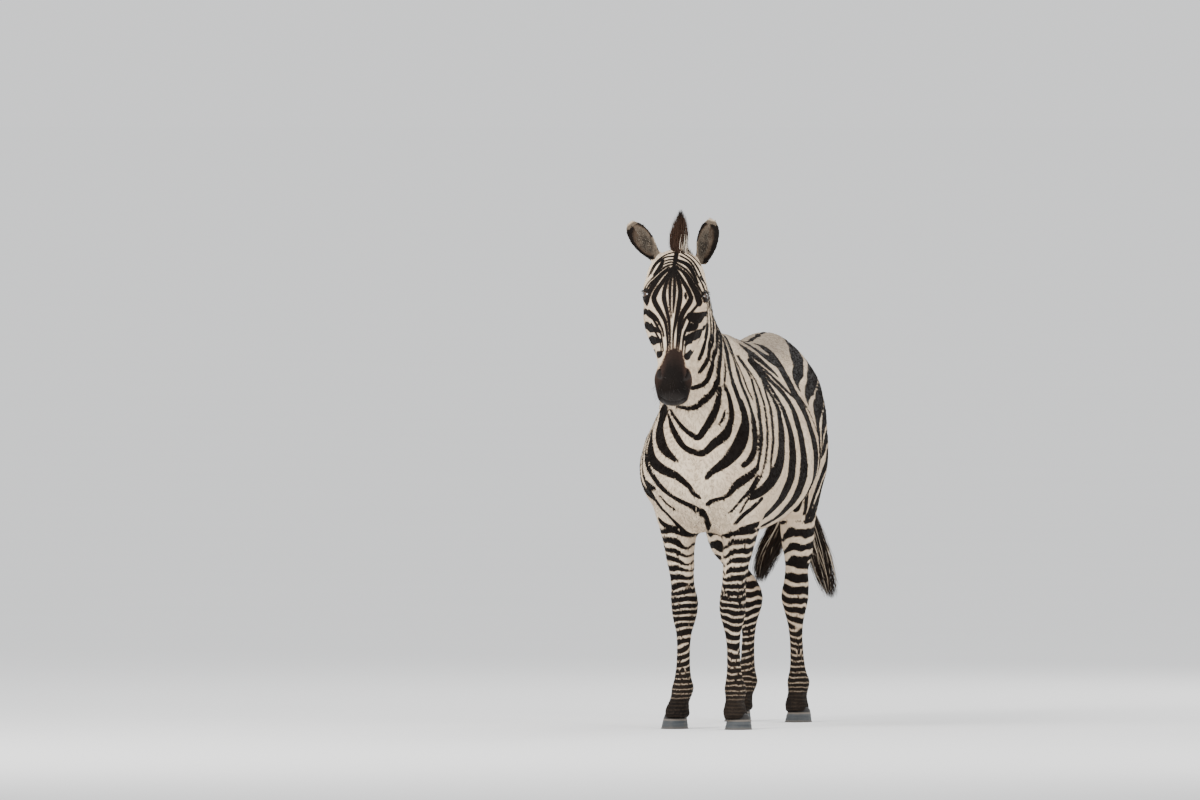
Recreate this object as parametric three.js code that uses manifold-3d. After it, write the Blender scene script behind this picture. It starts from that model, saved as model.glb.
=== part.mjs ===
// A plains zebra standing square with its head up, life size, in millimetres.
// +Z is up, the animal faces -Y and its left side is +X.
import * as THREE from 'three';
import Module from 'manifold-3d';

const wasm = await Module();
wasm.setup();

// ---- Driving sizes -----------------------------------------------------------------------

const GAP = 0.45; // growth of a piece before it cuts its neighbour, which leaves the joint line

const WITHERS = [-290, 1276]; // [y, z] of the highest point between the shoulder blades
const CROUP = [455, 1272];
const BREAST_Y = -600;
const BUTTOCK_Y = 712;
const BARREL_HALF_WIDTH = 255;
const BELLY_HEIGHT = 610;
const STERNUM_HEIGHT = 626;

const POLL = new THREE.Vector3(-16, -790, 1545); // top of the skull, between the ears
const FACE_SLOPE = 28; // degrees that the face leans forward of the plumb line
const HEAD_TURN = 12.6; // degrees that the head looks to the animal's left
const HEAD_ROLL = 1.5;

const EYE_RADIUS = 20;
const EYE_CENTRE = [88, -2, -176]; // in the head's own frame: across, back, up
const EAR_LENGTH = 166;
const EAR_WALL = 7;
// Each ear leans outwards and forwards by its own angles from its base [across, back, up],
// which is counted from the poll.
const EARS = [
  { name: 'ear_right', side: -1, base: [63, 14, -42], lean: 38, tip: -6 },
  { name: 'ear_left', side: 1, base: [81, 14, -58], lean: 14, tip: -8 },
];

const KNEE_HEIGHT = 390;
const HOCK_HEIGHT = 410;
const FETLOCK_HEIGHT = 125;
const HOOF_LENGTH = 112;
const HOOF_HALF_WIDTH = 44;
const HOOF_HEIGHT = 64;

// How each leg stands: the distance of its centre from the middle plane at five heights,
// and how far it is moved backwards from the pose that its slices give.
const FORELEGS = [
  {
    name: 'front_left', side: 1, back: 0,
    stand: { top: 117, middle: 86, joint: 70, fetlock: 78, hoof: 103 },
  },
  {
    name: 'front_right', side: -1, back: 50,
    stand: { top: 119, middle: 109, joint: 97, fetlock: 104, hoof: 117 },
  },
];
const HINDLEGS = [
  {
    name: 'hind_left', side: 1, back: 0,
    stand: { top: 112, middle: 103, joint: 80, fetlock: 97, hoof: 110 },
  },
  {
    name: 'hind_right', side: -1, back: 30,
    stand: { top: 118, middle: 151, joint: 72, fetlock: 81, hoof: 97 },
  },
];
const SHIFT_TOP = 900; // a leg that is moved backwards starts to move at this height
const SHIFT_SPAN = 500; // and has moved in full this far below it

const radians = THREE.MathUtils.degToRad;

// ---- Materials ---------------------------------------------------------------------------

const striped = new THREE.MeshStandardMaterial({ color: 0xb49a80, roughness: 0.8, metalness: 0 });
const hair = new THREE.MeshStandardMaterial({ color: 0x2a1c14, roughness: 0.85, metalness: 0 });
const horn = new THREE.MeshStandardMaterial({ color: 0x4b4d50, roughness: 0.7, metalness: 0 });
const cornea = new THREE.MeshStandardMaterial({ color: 0x100b08, roughness: 0.15, metalness: 0 });

// ---- Slices and lofts --------------------------------------------------------------------

// A slice runs between two opposite edge points [y, z] of the body: the top and bottom of the
// trunk, crest and throat of the neck, front and back of the head or of a leg. Its half
// widths are measured at LEVELS of the way from the first edge point to the second.
const LEVELS = [0.18, 0.5, 0.82];

function slice(first, second, widths, x = 0) {
  return [x, ...first, ...second, ...widths];
}

function distance(one, other) {
  return Math.hypot(one[1] + one[3] - other[1] - other[3], one[2] + one[4] - other[2] - other[4]) / 2;
}

// Every number of the slices on a smooth curve through them, with `steps` rings per span.
function between(slices, steps) {
  const last = slices.length - 1;
  const spans = slices.slice(1).map((row, i) => distance(row, slices[i]));
  const slope = (i, k) => {
    if (i === 0) return (slices[1][k] - slices[0][k]) / spans[0];
    if (i === last) return (slices[last][k] - slices[last - 1][k]) / spans[last - 1];
    const before = (slices[i][k] - slices[i - 1][k]) / spans[i - 1];
    const after = (slices[i + 1][k] - slices[i][k]) / spans[i];
    return (before * spans[i] + after * spans[i - 1]) / (spans[i - 1] + spans[i]);
  };
  const rows = [];
  for (let i = 0; i < last; i++) {
    for (let j = 0; j < steps; j++) {
      const t = j / steps;
      const rise = t * t * (3 - 2 * t);
      rows.push(slices[i].map((value, k) => value + (slices[i + 1][k] - value) * rise
        + spans[i] * (slope(i, k) * t * (1 - t) ** 2 - slope(i + 1, k) * (1 - t) * t * t)));
    }
  }
  rows.push(slices[last]);
  return rows;
}

// The closed outline of one slice, made larger all round by `grow`.
function outline([x, y1, z1, y2, z2, ...widths], segments, grow) {
  const extra = grow / Math.hypot(y2 - y1, z2 - z1);
  const at = (across, share) =>
    new THREE.Vector3(x + across, y1 + (y2 - y1) * share, z1 + (z2 - z1) * share);
  const right = widths.map((width, i) => at(width + grow, LEVELS[i]));
  const left = widths.map((width, i) => at(-width - grow, LEVELS[i])).reverse();
  const corners = [at(0, -extra), ...right, at(0, 1 + extra), ...left];
  return new THREE.CatmullRomCurve3(corners, true, 'catmullrom', 0.55).getPoints(segments).slice(0, -1);
}

function centreOf(points) {
  return points.reduce((sum, point) => sum.add(point), new THREE.Vector3()).divideScalar(points.length);
}

// A closed body through rings of equal length, with a flat fan at each end. A folded ring,
// which runs out along one side of a wall and back along the other, gets a strip instead.
function skinRings(rings, folded = false) {
  const count = rings[0].length;
  const points = folded ? rings.flat() : [...rings.flat(), centreOf(rings[0]), centreOf(rings.at(-1))];
  const faces = [];
  for (let i = 0; i < rings.length - 1; i++) {
    for (let j = 0; j < count; j++) {
      const a = i * count + j;
      const b = i * count + (j + 1) % count;
      faces.push([a, b, b + count], [a, b + count, a + count]);
    }
  }
  const end = (rings.length - 1) * count;
  for (let j = 0; !folded && j < count; j++) {
    faces.push([(j + 1) % count, j, end + count], [end + j, end + (j + 1) % count, end + count + 1]);
  }
  for (let j = 0; folded && j < count / 2 - 1; j++) {
    const [a, b, c, d] = [j, j + 1, count - 2 - j, count - 1 - j];
    faces.push([b, a, d], [b, d, c], [end + a, end + b, end + c], [end + a, end + c, end + d]);
  }
  return toSolid(points, faces);
}

function toSolid(points, faces) {
  const volume = faces.reduce((sum, [a, b, c]) =>
    sum + points[a].dot(new THREE.Vector3().crossVectors(points[b], points[c])), 0);
  const outward = volume > 0 ? faces : faces.map(([a, b, c]) => [a, c, b]);
  return new wasm.Manifold(new wasm.Mesh({
    numProp: 3,
    vertProperties: Float32Array.from(points.flatMap((point) => point.toArray())),
    triVerts: Uint32Array.from(outward.flat()),
  }));
}

// The solid through a list of slices. `shape` moves single points, as a bulge does, and
// `place` carries the finished rings into the animal's frame.
function loft(slices, { steps = 3, segments = 24, grow = 0, shape, place } = {}) {
  const rings = between(slices, steps).map((row) => outline(row, segments, grow));
  for (const [ring, next] of [[rings[0], rings[1]], [rings.at(-1), rings.at(-2)]]) {
    const away = centreOf(ring).sub(centreOf(next)).setLength(grow);
    ring.forEach((point) => point.add(away));
  }
  if (shape) rings.flat().forEach(shape);
  if (place) rings.flat().forEach((point) => point.applyMatrix4(place));
  return skinRings(rings);
}

// Pushes points near `at` in the direction `push`, fading out over `reach`.
function bulge(point, at, push, reach) {
  const far = Math.hypot(...at.map((value, k) => (point.getComponent(k) - value) / reach[k]));
  point.addScaledVector(new THREE.Vector3(...push), Math.exp(-far * far));
}

function largestPiece(solid) {
  return solid.decompose().sort((one, other) => other.volume() - one.volume())[0];
}

function cutBy(solid, ...cutters) {
  return largestPiece(cutters.reduce((rest, cutter) => rest.subtract(cutter), solid));
}

// ---- Trunk -------------------------------------------------------------------------------

const TRUNK = [
  slice([-588, 950], [BREAST_Y, 775], [48, 66, 56]),
  slice([-560, 1045], [-572, 718], [92, 138, 126]),
  slice([-490, 1120], [-508, 664], [110, 188, 174]),
  slice([-400, 1200], [-420, STERNUM_HEIGHT], [92, 208, 197]),
  slice(WITHERS, [-300, 626], [82, 220, 204]),
  slice([-150, 1266], [-150, 616], [128, 242, 204]),
  slice([50, 1242], [50, BELLY_HEIGHT], [166, BARREL_HALF_WIDTH, 212]),
  slice([215, 1244], [215, 626], [162, BARREL_HALF_WIDTH - 10, 192]),
  slice([345, 1262], [340, 676], [146, 222, 164]),
  slice(CROUP, [450, 742], [134, 202, 164]),
  slice([575, 1234], [565, 810], [108, 174, 150]),
  slice([665, 1154], [662, 880], [76, 124, 108]),
  slice([704, 1084], [BUTTOCK_Y, 950], [36, 54, 46]),
];

const trunkSolid = (grow) => loft(TRUNK, { segments: 24, steps: 2, grow });

// ---- Neck --------------------------------------------------------------------------------

const NECK = [
  slice([-225, 1250], [-470, 800], [60, 146, 150]),
  slice([-310, 1296], [-560, 890], [56, 130, 146], -1),
  slice([-400, 1352], [-622, 1000], [46, 98, 118], -3),
  slice([-500, 1408], [-690, 1095], [42, 80, 92], -6),
  slice([-600, 1458], [-752, 1180], [42, 77, 80], -9),
  slice([-700, 1500], [-812, 1255], [42, 77, 74], -12),
  slice([-772, 1524], [-842, 1318], [42, 70, 62], -14),
];

const neckSolid = (grow) => loft(NECK, { segments: 16, steps: 2, grow });

// ---- Head --------------------------------------------------------------------------------

// The head hangs from the poll in its own frame: the face is at -Y and the muzzle at -Z.
const headPlace = new THREE.Matrix4()
  .makeRotationZ(radians(HEAD_TURN))
  .multiply(new THREE.Matrix4().makeRotationY(radians(HEAD_ROLL)))
  .multiply(new THREE.Matrix4().makeRotationX(radians(-FACE_SLOPE)))
  .setPosition(POLL);

const HEAD = [
  slice([6, 2], [88, 2], [28, 36, 34]),
  slice([-14, -17], [112, -23], [50, 60, 54]),
  slice([-36, -53], [142, -59], [76, 80, 68]),
  slice([-50, -100], [172, -107], [90, 91, 78]),
  slice([-56, -148], [190, -158], [94, 98, 82]),
  slice([-57, -196], [194, -212], [84, 95, 82]),
  slice([-54, -250], [176, -269], [64, 85, 76]),
  slice([-49, -306], [142, -320], [50, 70, 62]),
  slice([-44, -361], [114, -368], [44, 58, 46]),
  slice([-41, -413], [98, -418], [46, 52, 40]),
  slice([-41, -460], [92, -468], [52, 56, 42]),
  slice([-36, -501], [86, -508], [50, 56, 44]),
  slice([-18, -531], [66, -537], [38, 46, 38]),
  slice([6, -546], [40, -549], [18, 24, 20]),
];

function headForms(point) {
  for (const side of [-1, 1]) {
    bulge(point, [side * 96, -22, -160], [side * 11, -2, 6], [30, 34, 24]); // brow over the eye
    bulge(point, [side * 82, 14, -250], [side * 5, 0, 0], [30, 14, 60]); // facial crest
    bulge(point, [side * 56, -20, -480], [side * 6, -3, 0], [22, 22, 24]); // rim of the nostril
    bulge(point, [side * 84, 120, -205], [side * 5, 0, 0], [30, 60, 60]); // cheek muscle
  }
  bulge(point, [0, 88, -511], [0, 8, 0], [30, 20, 22]); // chin
}

const headSolid = (grow) =>
  loft(HEAD, { segments: 20, steps: 2, grow, shape: headForms, place: headPlace });

function eyeSolid(side, radius) {
  const ball = new THREE.IcosahedronGeometry(radius, 2);
  ball.translate(side * EYE_CENTRE[0], EYE_CENTRE[1], EYE_CENTRE[2]).applyMatrix4(headPlace);
  return fromGeometry(ball);
}

// The library's plain solids come with loose corners, which are joined here by their place.
function fromGeometry(geometry) {
  const places = new Map();
  const points = [];
  const position = geometry.getAttribute('position');
  const corners = [];
  for (let i = 0; i < position.count; i++) {
    const point = new THREE.Vector3().fromBufferAttribute(position, i);
    const key = point.toArray().map((value) => value.toFixed(3)).join(' ');
    if (!places.has(key)) places.set(key, points.push(point) - 1);
    corners.push(places.get(key));
  }
  const order = geometry.index ? Array.from(geometry.index.array, (i) => corners[i]) : corners;
  const faces = Array.from({ length: order.length / 3 }, (_, i) => order.slice(3 * i, 3 * i + 3));
  return toSolid(points, faces.filter(([a, b, c]) => a !== b && b !== c && a !== c));
}

// ---- Ears --------------------------------------------------------------------------------

// An ear is a leaf rolled round its own axis: [height share, half width, cup depth, roll].
// The roll is how far the leaf is wrapped, in degrees to each side of its back.
const EAR = [
  [0, 17, 18, 158],
  [0.1, 22, 23, 150],
  [0.24, 30, 29, 126],
  [0.42, 38, 30, 106],
  [0.6, 40.5, 25, 96],
  [0.76, 37, 18, 92],
  [0.89, 26, 12, 90],
  [0.97, 14, 9, 90],
];

function earSolid({ side, base, lean, tip }, grow) {
  const wall = EAR_WALL + 2 * grow;
  const around = 8;
  const rings = EAR.map(([share, width, depth, roll]) => {
    const arc = (inset) => Array.from({ length: around }, (_, i) => {
      const angle = radians(roll) * (2 * i / (around - 1) - 1);
      const across = Math.max(width + grow - inset, 1) * Math.sin(angle);
      const back = Math.max(depth + grow - inset, 1) * Math.cos(angle);
      return new THREE.Vector3(across, back, share * EAR_LENGTH);
    });
    return [...arc(0), ...arc(wall).reverse()];
  });
  const place = new THREE.Matrix4()
    .makeTranslation(POLL.x, POLL.y, POLL.z)
    .multiply(new THREE.Matrix4().makeRotationZ(radians(HEAD_TURN + side * 6)))
    .multiply(new THREE.Matrix4().makeTranslation(side * base[0], base[1], base[2]))
    .multiply(new THREE.Matrix4().makeRotationY(radians(side * lean)))
    .multiply(new THREE.Matrix4().makeRotationX(radians(tip)));
  rings.flat().forEach((point) => point.applyMatrix4(place));
  return skinRings(rings, true);
}

// ---- Mane, forelock and tail -------------------------------------------------------------

const MANE_HEIGHT = 98;
const MANE_ROOT = 22; // how far the mane reaches down into the crest
const MANE_LEAN = 112; // degrees from straight back at the withers, growing by
const MANE_LEAN_STEP = 2; // this much from row to row

// The mane stands on the crest: each row is a place on the crest and its share of the height.
const MANE = [
  [[-322, 1296], 0.12, 8],
  [[-380, 1332], 0.62, 15],
  [[-460, 1376], 0.92, 19],
  [[-560, 1424], 1, 21],
  [[-660, 1466], 1, 21],
  [[-735, 1494], 0.96, 20],
  [[-782, 1512], 0.86, 17],
].map(([[y, z], share, width], i) => {
  const lean = radians(MANE_LEAN + MANE_LEAN_STEP * i);
  const height = MANE_HEIGHT * share + MANE_ROOT;
  const top = [y + height * Math.cos(lean), z + height * Math.sin(lean)];
  return slice(top, [y, z - MANE_ROOT], [width * 0.45, width * 0.8, width], -2 - 2 * i);
});

const FORELOCK = [
  slice([-812, 1500], [-770, 1502], [16, 22, 16], -12),
  slice([-822, 1540], [-762, 1540], [18, 28, 20], -11),
  slice([-820, 1582], [-766, 1582], [18, 28, 20], -8),
  slice([-812, 1622], [-776, 1622], [13, 20, 14], -4),
  slice([-803, 1652], [-787, 1652], [6, 9, 6], 1),
  slice([-799, 1670], [-795, 1670], [1.5, 2, 1.5], 3),
];

const DOCK_END = 34; // the tail hangs a little to the left: how far across its end is

const DOCK = [
  slice([655, 1150], [664, 1096], [26, 30, 26]),
  slice([712, 1136], [702, 1082], [26, 31, 26], 1),
  slice([748, 1095], [706, 1062], [23, 28, 24], 3),
  slice([764, 1020], [722, 1008], [19, 24, 20], 8),
  slice([766, 930], [728, 926], [16, 20, 16], 16),
  slice([762, 840], [728, 840], [15, 19, 15], 26),
  slice([756, 770], [730, 770], [14, 17, 14], DOCK_END),
];

// The tuft spreads from the end of the dock in two bunches, each with the place of its tip
// [across, up] and its half width.
const BUNCHES = { left: { tip: [160, 392], spread: 38 }, right: { tip: [-82, 440], spread: 42 } };

function bunchSlices({ tip: [x, z], spread }) {
  const across = (share) => DOCK_END + (x - DOCK_END) * share;
  const widths = (share) => [0.75, 1, 0.75].map((level) => spread * share * level);
  return [
    slice([756, 800], [722, 800], [14, 18, 14], DOCK_END - 4),
    slice([762, 720], [716, 720], [24, 30, 24], across(0.12)),
    slice([762, 620], [708, 620], widths(1), across(0.42)),
    slice([752, z + 90], [704, z + 90], widths(0.92), across(0.78)),
    slice([738, z + 20], [712, z + 20], widths(0.42), across(0.96)),
    slice([729, z], [722, z], [5, 7, 5], x),
  ];
}

// ---- Legs --------------------------------------------------------------------------------

// Rows are [height, front y, back y, half widths]; a joint that slants has two heights.
const FORELEG = [
  [1000, -545, -380, [44, 52, 46]],
  [900, -535, -318, [66, 74, 66]],
  [800, -508, -282, [74, 84, 76]],
  [720, -478, -268, [64, 78, 70]],
  [650, -453, -277, [50, 62, 56]],
  [590, -437, -292, [42, 50, 44]],
  [525, -425, -305, [36, 42, 35]],
  [465, -415, -314, [35, 40, 32]],
  [425, -414, -314, [36, 43, 35]],
  [KNEE_HEIGHT, -413, -312, [36, 44, 36]],
  [348, -402, -316, [31, 38, 32]],
  [305, -393, -326, [22, 27, 21]],
  [230, -389, -330, [19, 23.5, 18]],
  [170, -391, -326, [23, 27, 22]],
  [[132, 118], -398, -317, [29, 36.5, 29]],
  [[104, 78], -424, -348, [26, 31, 26]],
  [[84, 50], -446, -368, [28, 35, 30]],
  [[50, 30], -470, -372, [28, 35, 30]],
];
const FORE_TOE = -480;
const FORE = { rows: FORELEG, toe: FORE_TOE, top: 800, middle: 560, joint: KNEE_HEIGHT, y: -350 };

const HINDLEG = [
  [1080, 380, 640, [56, 76, 60]],
  [960, 300, 676, [70, 84, 72]],
  [850, 252, 672, [72, 84, 72]],
  [760, 252, 640, [61, 72, 60]],
  [690, 290, 600, [51, 62, 51]],
  [[620, 600], 350, 570, [43, 52, 42]],
  [[560, 530], 404, 562, [37, 48, 35]],
  [[505, 485], 444, 568, [32, 38, 26]],
  [[452, 458], 462, 598, [36, 42, 26]],
  [[HOCK_HEIGHT, 432], 466, 604, [38, 45, 30]],
  [366, 474, 572, [32, 38, 28]],
  [315, 481, 550, [22, 26, 21]],
  [230, 480, 543, [19, 23, 18]],
  [170, 476, 546, [23, 27, 22]],
  [[132, 118], 461, 546, [30, 38, 29]],
  [[104, 78], 438, 516, [26, 31, 26]],
  [[84, 50], 418, 496, [28, 34, 30]],
  [[50, 30], 396, 492, [28, 34, 30]],
];
const HIND_TOE = 386;
const HIND = { rows: HINDLEG, toe: HIND_TOE, top: 900, middle: 575, joint: HOCK_HEIGHT, y: 530 };

// The leg's distance from the middle plane, smooth through the heights where it is given.
function standAt(height, stand, { top, middle, joint }) {
  const marks = [
    [0, stand.hoof], [FETLOCK_HEIGHT, stand.fetlock], [joint, stand.joint],
    [middle, stand.middle], [top, stand.top],
  ];
  const index = Math.min(Math.max(marks.findIndex(([level]) => level >= height), 1), marks.length - 1);
  const [low, high] = [marks[index - 1], marks[index]];
  const share = THREE.MathUtils.clamp((height - low[0]) / (high[0] - low[0]), 0, 1);
  return low[1] + (high[1] - low[1]) * THREE.MathUtils.smoothstep(share, -0.2, 1.2);
}

function legSlices({ side, stand, back }, kind) {
  return kind.rows.map(([heights, front, rear, widths]) => {
    const [frontHeight, rearHeight] = [heights].flat().length > 1 ? heights : [heights, heights];
    const x = side * standAt((frontHeight + rearHeight) / 2, stand, kind);
    const moved = back * THREE.MathUtils.smoothstep(SHIFT_TOP - frontHeight, 0, SHIFT_SPAN);
    return slice([front + moved, frontHeight], [rear + moved, rearHeight], widths, x);
  });
}

// A hoof widens from the coronet to a flat sole, and its toe slopes like the pastern.
function hoofSlices({ side, stand, back }, toe) {
  const x = side * stand.hoof;
  const row = (share, front, rear, height, rearHeight) => {
    const width = HOOF_HALF_WIDTH * share;
    return slice([toe + back + front, height], [toe + back + rear, rearHeight],
      [width * 0.74, width, width * 0.8], x);
  };
  return [
    row(1, 0, HOOF_LENGTH, 0, 0),
    row(0.985, 6, HOOF_LENGTH - 1, 9, 7),
    row(0.9, 36, HOOF_LENGTH - 2, HOOF_HEIGHT * 0.8, HOOF_HEIGHT * 0.48),
    row(0.82, 44, HOOF_LENGTH - 6, HOOF_HEIGHT, HOOF_HEIGHT * 0.6),
  ];
}

// ---- Assembly ----------------------------------------------------------------------------

const zebra = new THREE.Group();

function add(name, solid, material) {
  const { vertProperties, triVerts, numProp } = solid.getMesh();
  const geometry = new THREE.BufferGeometry();
  const positions = new THREE.BufferAttribute(vertProperties, numProp);
  geometry.setAttribute('position', positions);
  geometry.setIndex(new THREE.BufferAttribute(triVerts, 1));
  geometry.computeVertexNormals();
  const mesh = new THREE.Mesh(geometry, material);
  mesh.name = name;
  zebra.add(mesh);
}

// A flat box wider than both legs, which parts one at its joint, as thin as the joint lines.
const SLAB_WIDTH = 700;
const SLAB_DEPTH = 500;

function partingSlab(height, y) {
  const slab = new THREE.BoxGeometry(SLAB_WIDTH, SLAB_DEPTH, GAP);
  return fromGeometry(slab.translate(0, y, height));
}

const trunk = trunkSolid(0);
const trunkCutter = trunkSolid(GAP);
const headCutter = headSolid(GAP);
const neckCutter = neckSolid(GAP);
const dock = cutBy(loft(DOCK, { segments: 8, steps: 2 }), trunkCutter);
const dockCutter = loft(DOCK, { segments: 8, steps: 2, grow: GAP });

add('trunk', trunk, striped);
add('neck', cutBy(neckSolid(0), trunkCutter, headCutter), striped);

const sockets = [-1, 1].map((side) => eyeSolid(side, EYE_RADIUS + GAP));
add('head', cutBy(headSolid(0), ...sockets), striped);
add('eye_right', eyeSolid(-1, EYE_RADIUS), cornea);
add('eye_left', eyeSolid(1, EYE_RADIUS), cornea);

for (const ear of EARS) {
  add(ear.name, cutBy(earSolid(ear, 0), headCutter, neckCutter), striped);
}
const forelock = cutBy(loft(FORELOCK, { segments: 8, steps: 1 }), headCutter);
const forelockCutter = loft(FORELOCK, { segments: 8, steps: 1, grow: GAP });
add('forelock', forelock, hair);
const mane = loft(MANE, { segments: 8, steps: 2 });
add('mane', cutBy(mane, neckCutter, headCutter, trunkCutter, forelockCutter), hair);

add('tail_dock', dock, striped);
const leftBunch = (grow) => loft(bunchSlices(BUNCHES.left), { segments: 8, steps: 2, grow });
const rightBunch = loft(bunchSlices(BUNCHES.right), { segments: 8, steps: 2 });
add('tail_tuft_left', cutBy(leftBunch(0), dockCutter), hair);
add('tail_tuft_right', cutBy(rightBunch, dockCutter, leftBunch(GAP)), hair);

function addLeg(leg, kind) {
  const hoof = (grow) => loft(hoofSlices(leg, kind.toe), { segments: 16, steps: 1, grow });
  const whole = loft(legSlices(leg, kind), { segments: 10, steps: 2 });
  const limb = cutBy(whole, trunkCutter, hoof(GAP));
  const [upper, lower] = limb.subtract(partingSlab(kind.joint, kind.y)).decompose()
    .sort((one, other) => other.boundingBox().max[2] - one.boundingBox().max[2]);
  add(`upper_leg_${leg.name}`, upper, striped);
  add(`lower_leg_${leg.name}`, lower, striped);
  add(`hoof_${leg.name}`, hoof(0), horn);
}

for (const leg of FORELEGS) addLeg(leg, FORE);
for (const leg of HINDLEGS) addLeg(leg, HIND);

// The origin lies on the floor under the middle of the animal's box.
const box = new THREE.Box3().setFromObject(zebra);
const middle = box.getCenter(new THREE.Vector3());
zebra.position.set(-middle.x, -middle.y, -box.min.z);

export default zebra;
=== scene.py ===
"""A plains zebra as a still, life-size museum model.

Run as a script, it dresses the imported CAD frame: one skin over the parts of flesh, its
markings, a short coat in tufts, mane, forelock, tail and whiskers as solid hair, eyes and
hooves, and a plain studio. Lengths are metres unless a name or comment says millimetres.
"""
import functools
import math

import bmesh
import bpy
import numpy as np
from mathutils import Matrix, Vector
from mathutils.bvhtree import BVHTree


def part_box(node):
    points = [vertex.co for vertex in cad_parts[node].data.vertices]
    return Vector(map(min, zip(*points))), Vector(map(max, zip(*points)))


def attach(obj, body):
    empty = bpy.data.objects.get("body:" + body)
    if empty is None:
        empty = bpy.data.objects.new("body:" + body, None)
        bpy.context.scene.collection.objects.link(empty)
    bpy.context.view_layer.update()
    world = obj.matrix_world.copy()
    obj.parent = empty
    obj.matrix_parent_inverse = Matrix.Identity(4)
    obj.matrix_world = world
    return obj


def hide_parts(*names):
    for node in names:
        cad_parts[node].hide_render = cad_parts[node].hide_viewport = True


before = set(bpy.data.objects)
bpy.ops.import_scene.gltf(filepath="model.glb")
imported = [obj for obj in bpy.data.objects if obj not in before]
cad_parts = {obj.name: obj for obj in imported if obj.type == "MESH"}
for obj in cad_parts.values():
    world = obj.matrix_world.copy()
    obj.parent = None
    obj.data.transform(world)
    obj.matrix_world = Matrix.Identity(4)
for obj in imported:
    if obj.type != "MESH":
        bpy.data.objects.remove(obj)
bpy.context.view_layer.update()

bl_info = {
    "name": "Plains zebra",
    "version": (1, 0, 0),
    "blender": (4, 5, 0),
    "location": "3D View > Sidebar > Zebra",
    "description": "Dresses the frame of a life-size zebra with skin, coat, hair and hooves",
    "category": "Add Mesh",
}

MM = 0.001

# ---- Places taken from the frame ----

LEGS = ("front_left", "front_right", "hind_left", "hind_right")
EARS = ("ear_left", "ear_right")
EYES = ("eye_left", "eye_right")
FLESH = ("head", "neck", "trunk", "tail_dock", *EARS) + tuple(
    f"{part}_leg_{leg}" for part in ("upper", "lower") for leg in LEGS)
HOOVES = tuple(f"hoof_{leg}" for leg in LEGS)
TAIL_TUFTS = ("tail_tuft_left", "tail_tuft_right")

# The stripes and muscles below are placed from the toe of the left fore hoof, whose box
# starts here when the frame stands where it was drawn.
FORE_TOE_DRAWN = -0.3351
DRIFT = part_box("hoof_front_left")[0].y - FORE_TOE_DRAWN


def as_drawn(points):
    """Points of the frame in mm where the forms and the stripes are drawn."""
    return points / MM - (0, DRIFT / MM, 0)


def from_drawn(points):
    return np.asarray(points, float) * MM + (0, DRIFT, 0)


# The head hangs from the poll: it looks a little to its left, leans and slopes forwards.
POLL = np.array((-0.016, -0.6451 + DRIFT, 1.545))
HEAD_TURN = math.radians(12.6)
HEAD_ROLL = math.radians(1.5)
FACE_SLOPE = math.radians(28)
HEAD_AXES = np.array(
    Matrix.Rotation(HEAD_TURN, 3, "Z") @ Matrix.Rotation(HEAD_ROLL, 3, "Y")
    @ Matrix.Rotation(-FACE_SLOPE, 3, "X"))


def in_head(points):
    """Points of the row frame in the head's own frame: face at -Y, muzzle at -Z, in mm."""
    return (points - POLL) @ HEAD_AXES / MM


def from_head(points):
    return np.asarray(points, float) * MM @ HEAD_AXES.T + POLL


def box_middle(node):
    low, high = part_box(node)
    return np.array((low + high) / 2)


EYE_RADIUS = (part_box("eye_left")[1].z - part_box("eye_left")[0].z) / 2 - 1 * MM
EYE_SINK = 5  # mm that the eyeball sits deeper than the solid that it stands for


# ---- Small mathematics ----

PAIRS_AT_ONCE = 4_000_000  # of a point and a line's point


def ease(value, start, end):
    """0 before start, 1 after end, smooth between them; start may be the larger one."""
    share = np.clip((value - start) / (end - start), 0, 1)
    return share * share * (3 - 2 * share)


def unit(vectors):
    length = np.linalg.norm(vectors, axis=-1, keepdims=True)
    return vectors / np.maximum(length, 1e-12)


def ripple(points, size, seed, waves=7):
    """A smooth random number of about -1 to 1 for each point, changing over `size`."""
    rng = np.random.default_rng(seed)
    directions = unit(rng.normal(size=(waves, 3)))
    lengths = size * rng.uniform(0.7, 1.6, waves)
    total = np.zeros(len(points))
    for direction, length, start in zip(directions, lengths, rng.uniform(0, 2 * math.pi, waves)):
        total += np.sin(points @ direction * (2 * math.pi / length) + start)
    return total / math.sqrt(waves)


def curve_through(points, spacing):
    """Points at about `spacing` on a smooth curve through a few."""
    points = np.asarray(points, float)
    ends = np.vstack((2 * points[0] - points[1], points, 2 * points[-1] - points[-2]))
    rows = []
    for before, start, end, after in zip(ends, ends[1:], ends[2:], ends[3:]):
        count = max(2, int(np.linalg.norm(end - start) / spacing))
        t = np.arange(count)[:, None] / count
        rows.append(0.5 * (2 * start + (end - before) * t
                           + (2 * before - 5 * start + 4 * end - after) * t ** 2
                           + (3 * start - before - 3 * end + after) * t ** 3))
    return np.vstack((*rows, points[-1:]))


def bell(share):
    """1 at 0, and fading to nothing beyond about 2 on both sides."""
    return np.exp(-share ** 2)


def mirrored(places, side):
    """Places drawn on the left, for the side 1 (left) or -1 (right)."""
    return np.multiply(places, (side, 1, 1))


def mounds(places, forms):
    """The height at each place of forms on both sides: middle, reach and height of each."""
    amount = np.zeros(len(places))
    for middle, reach, height in forms:
        for side in (-1, 1):
            far = (places - mirrored(middle, side)) / reach
            amount += height * np.exp(-(far ** 2).sum(1))
    return amount


def near_line(points, line, reach):
    """The points in the box round a line, as indices in groups that fit in memory."""
    low, high = line.min(0) - reach, line.max(0) + reach
    near = np.flatnonzero(((points > low) & (points < high)).all(1))
    return np.array_split(near, max(1, len(near) * len(line) // PAIRS_AT_ONCE))


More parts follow.
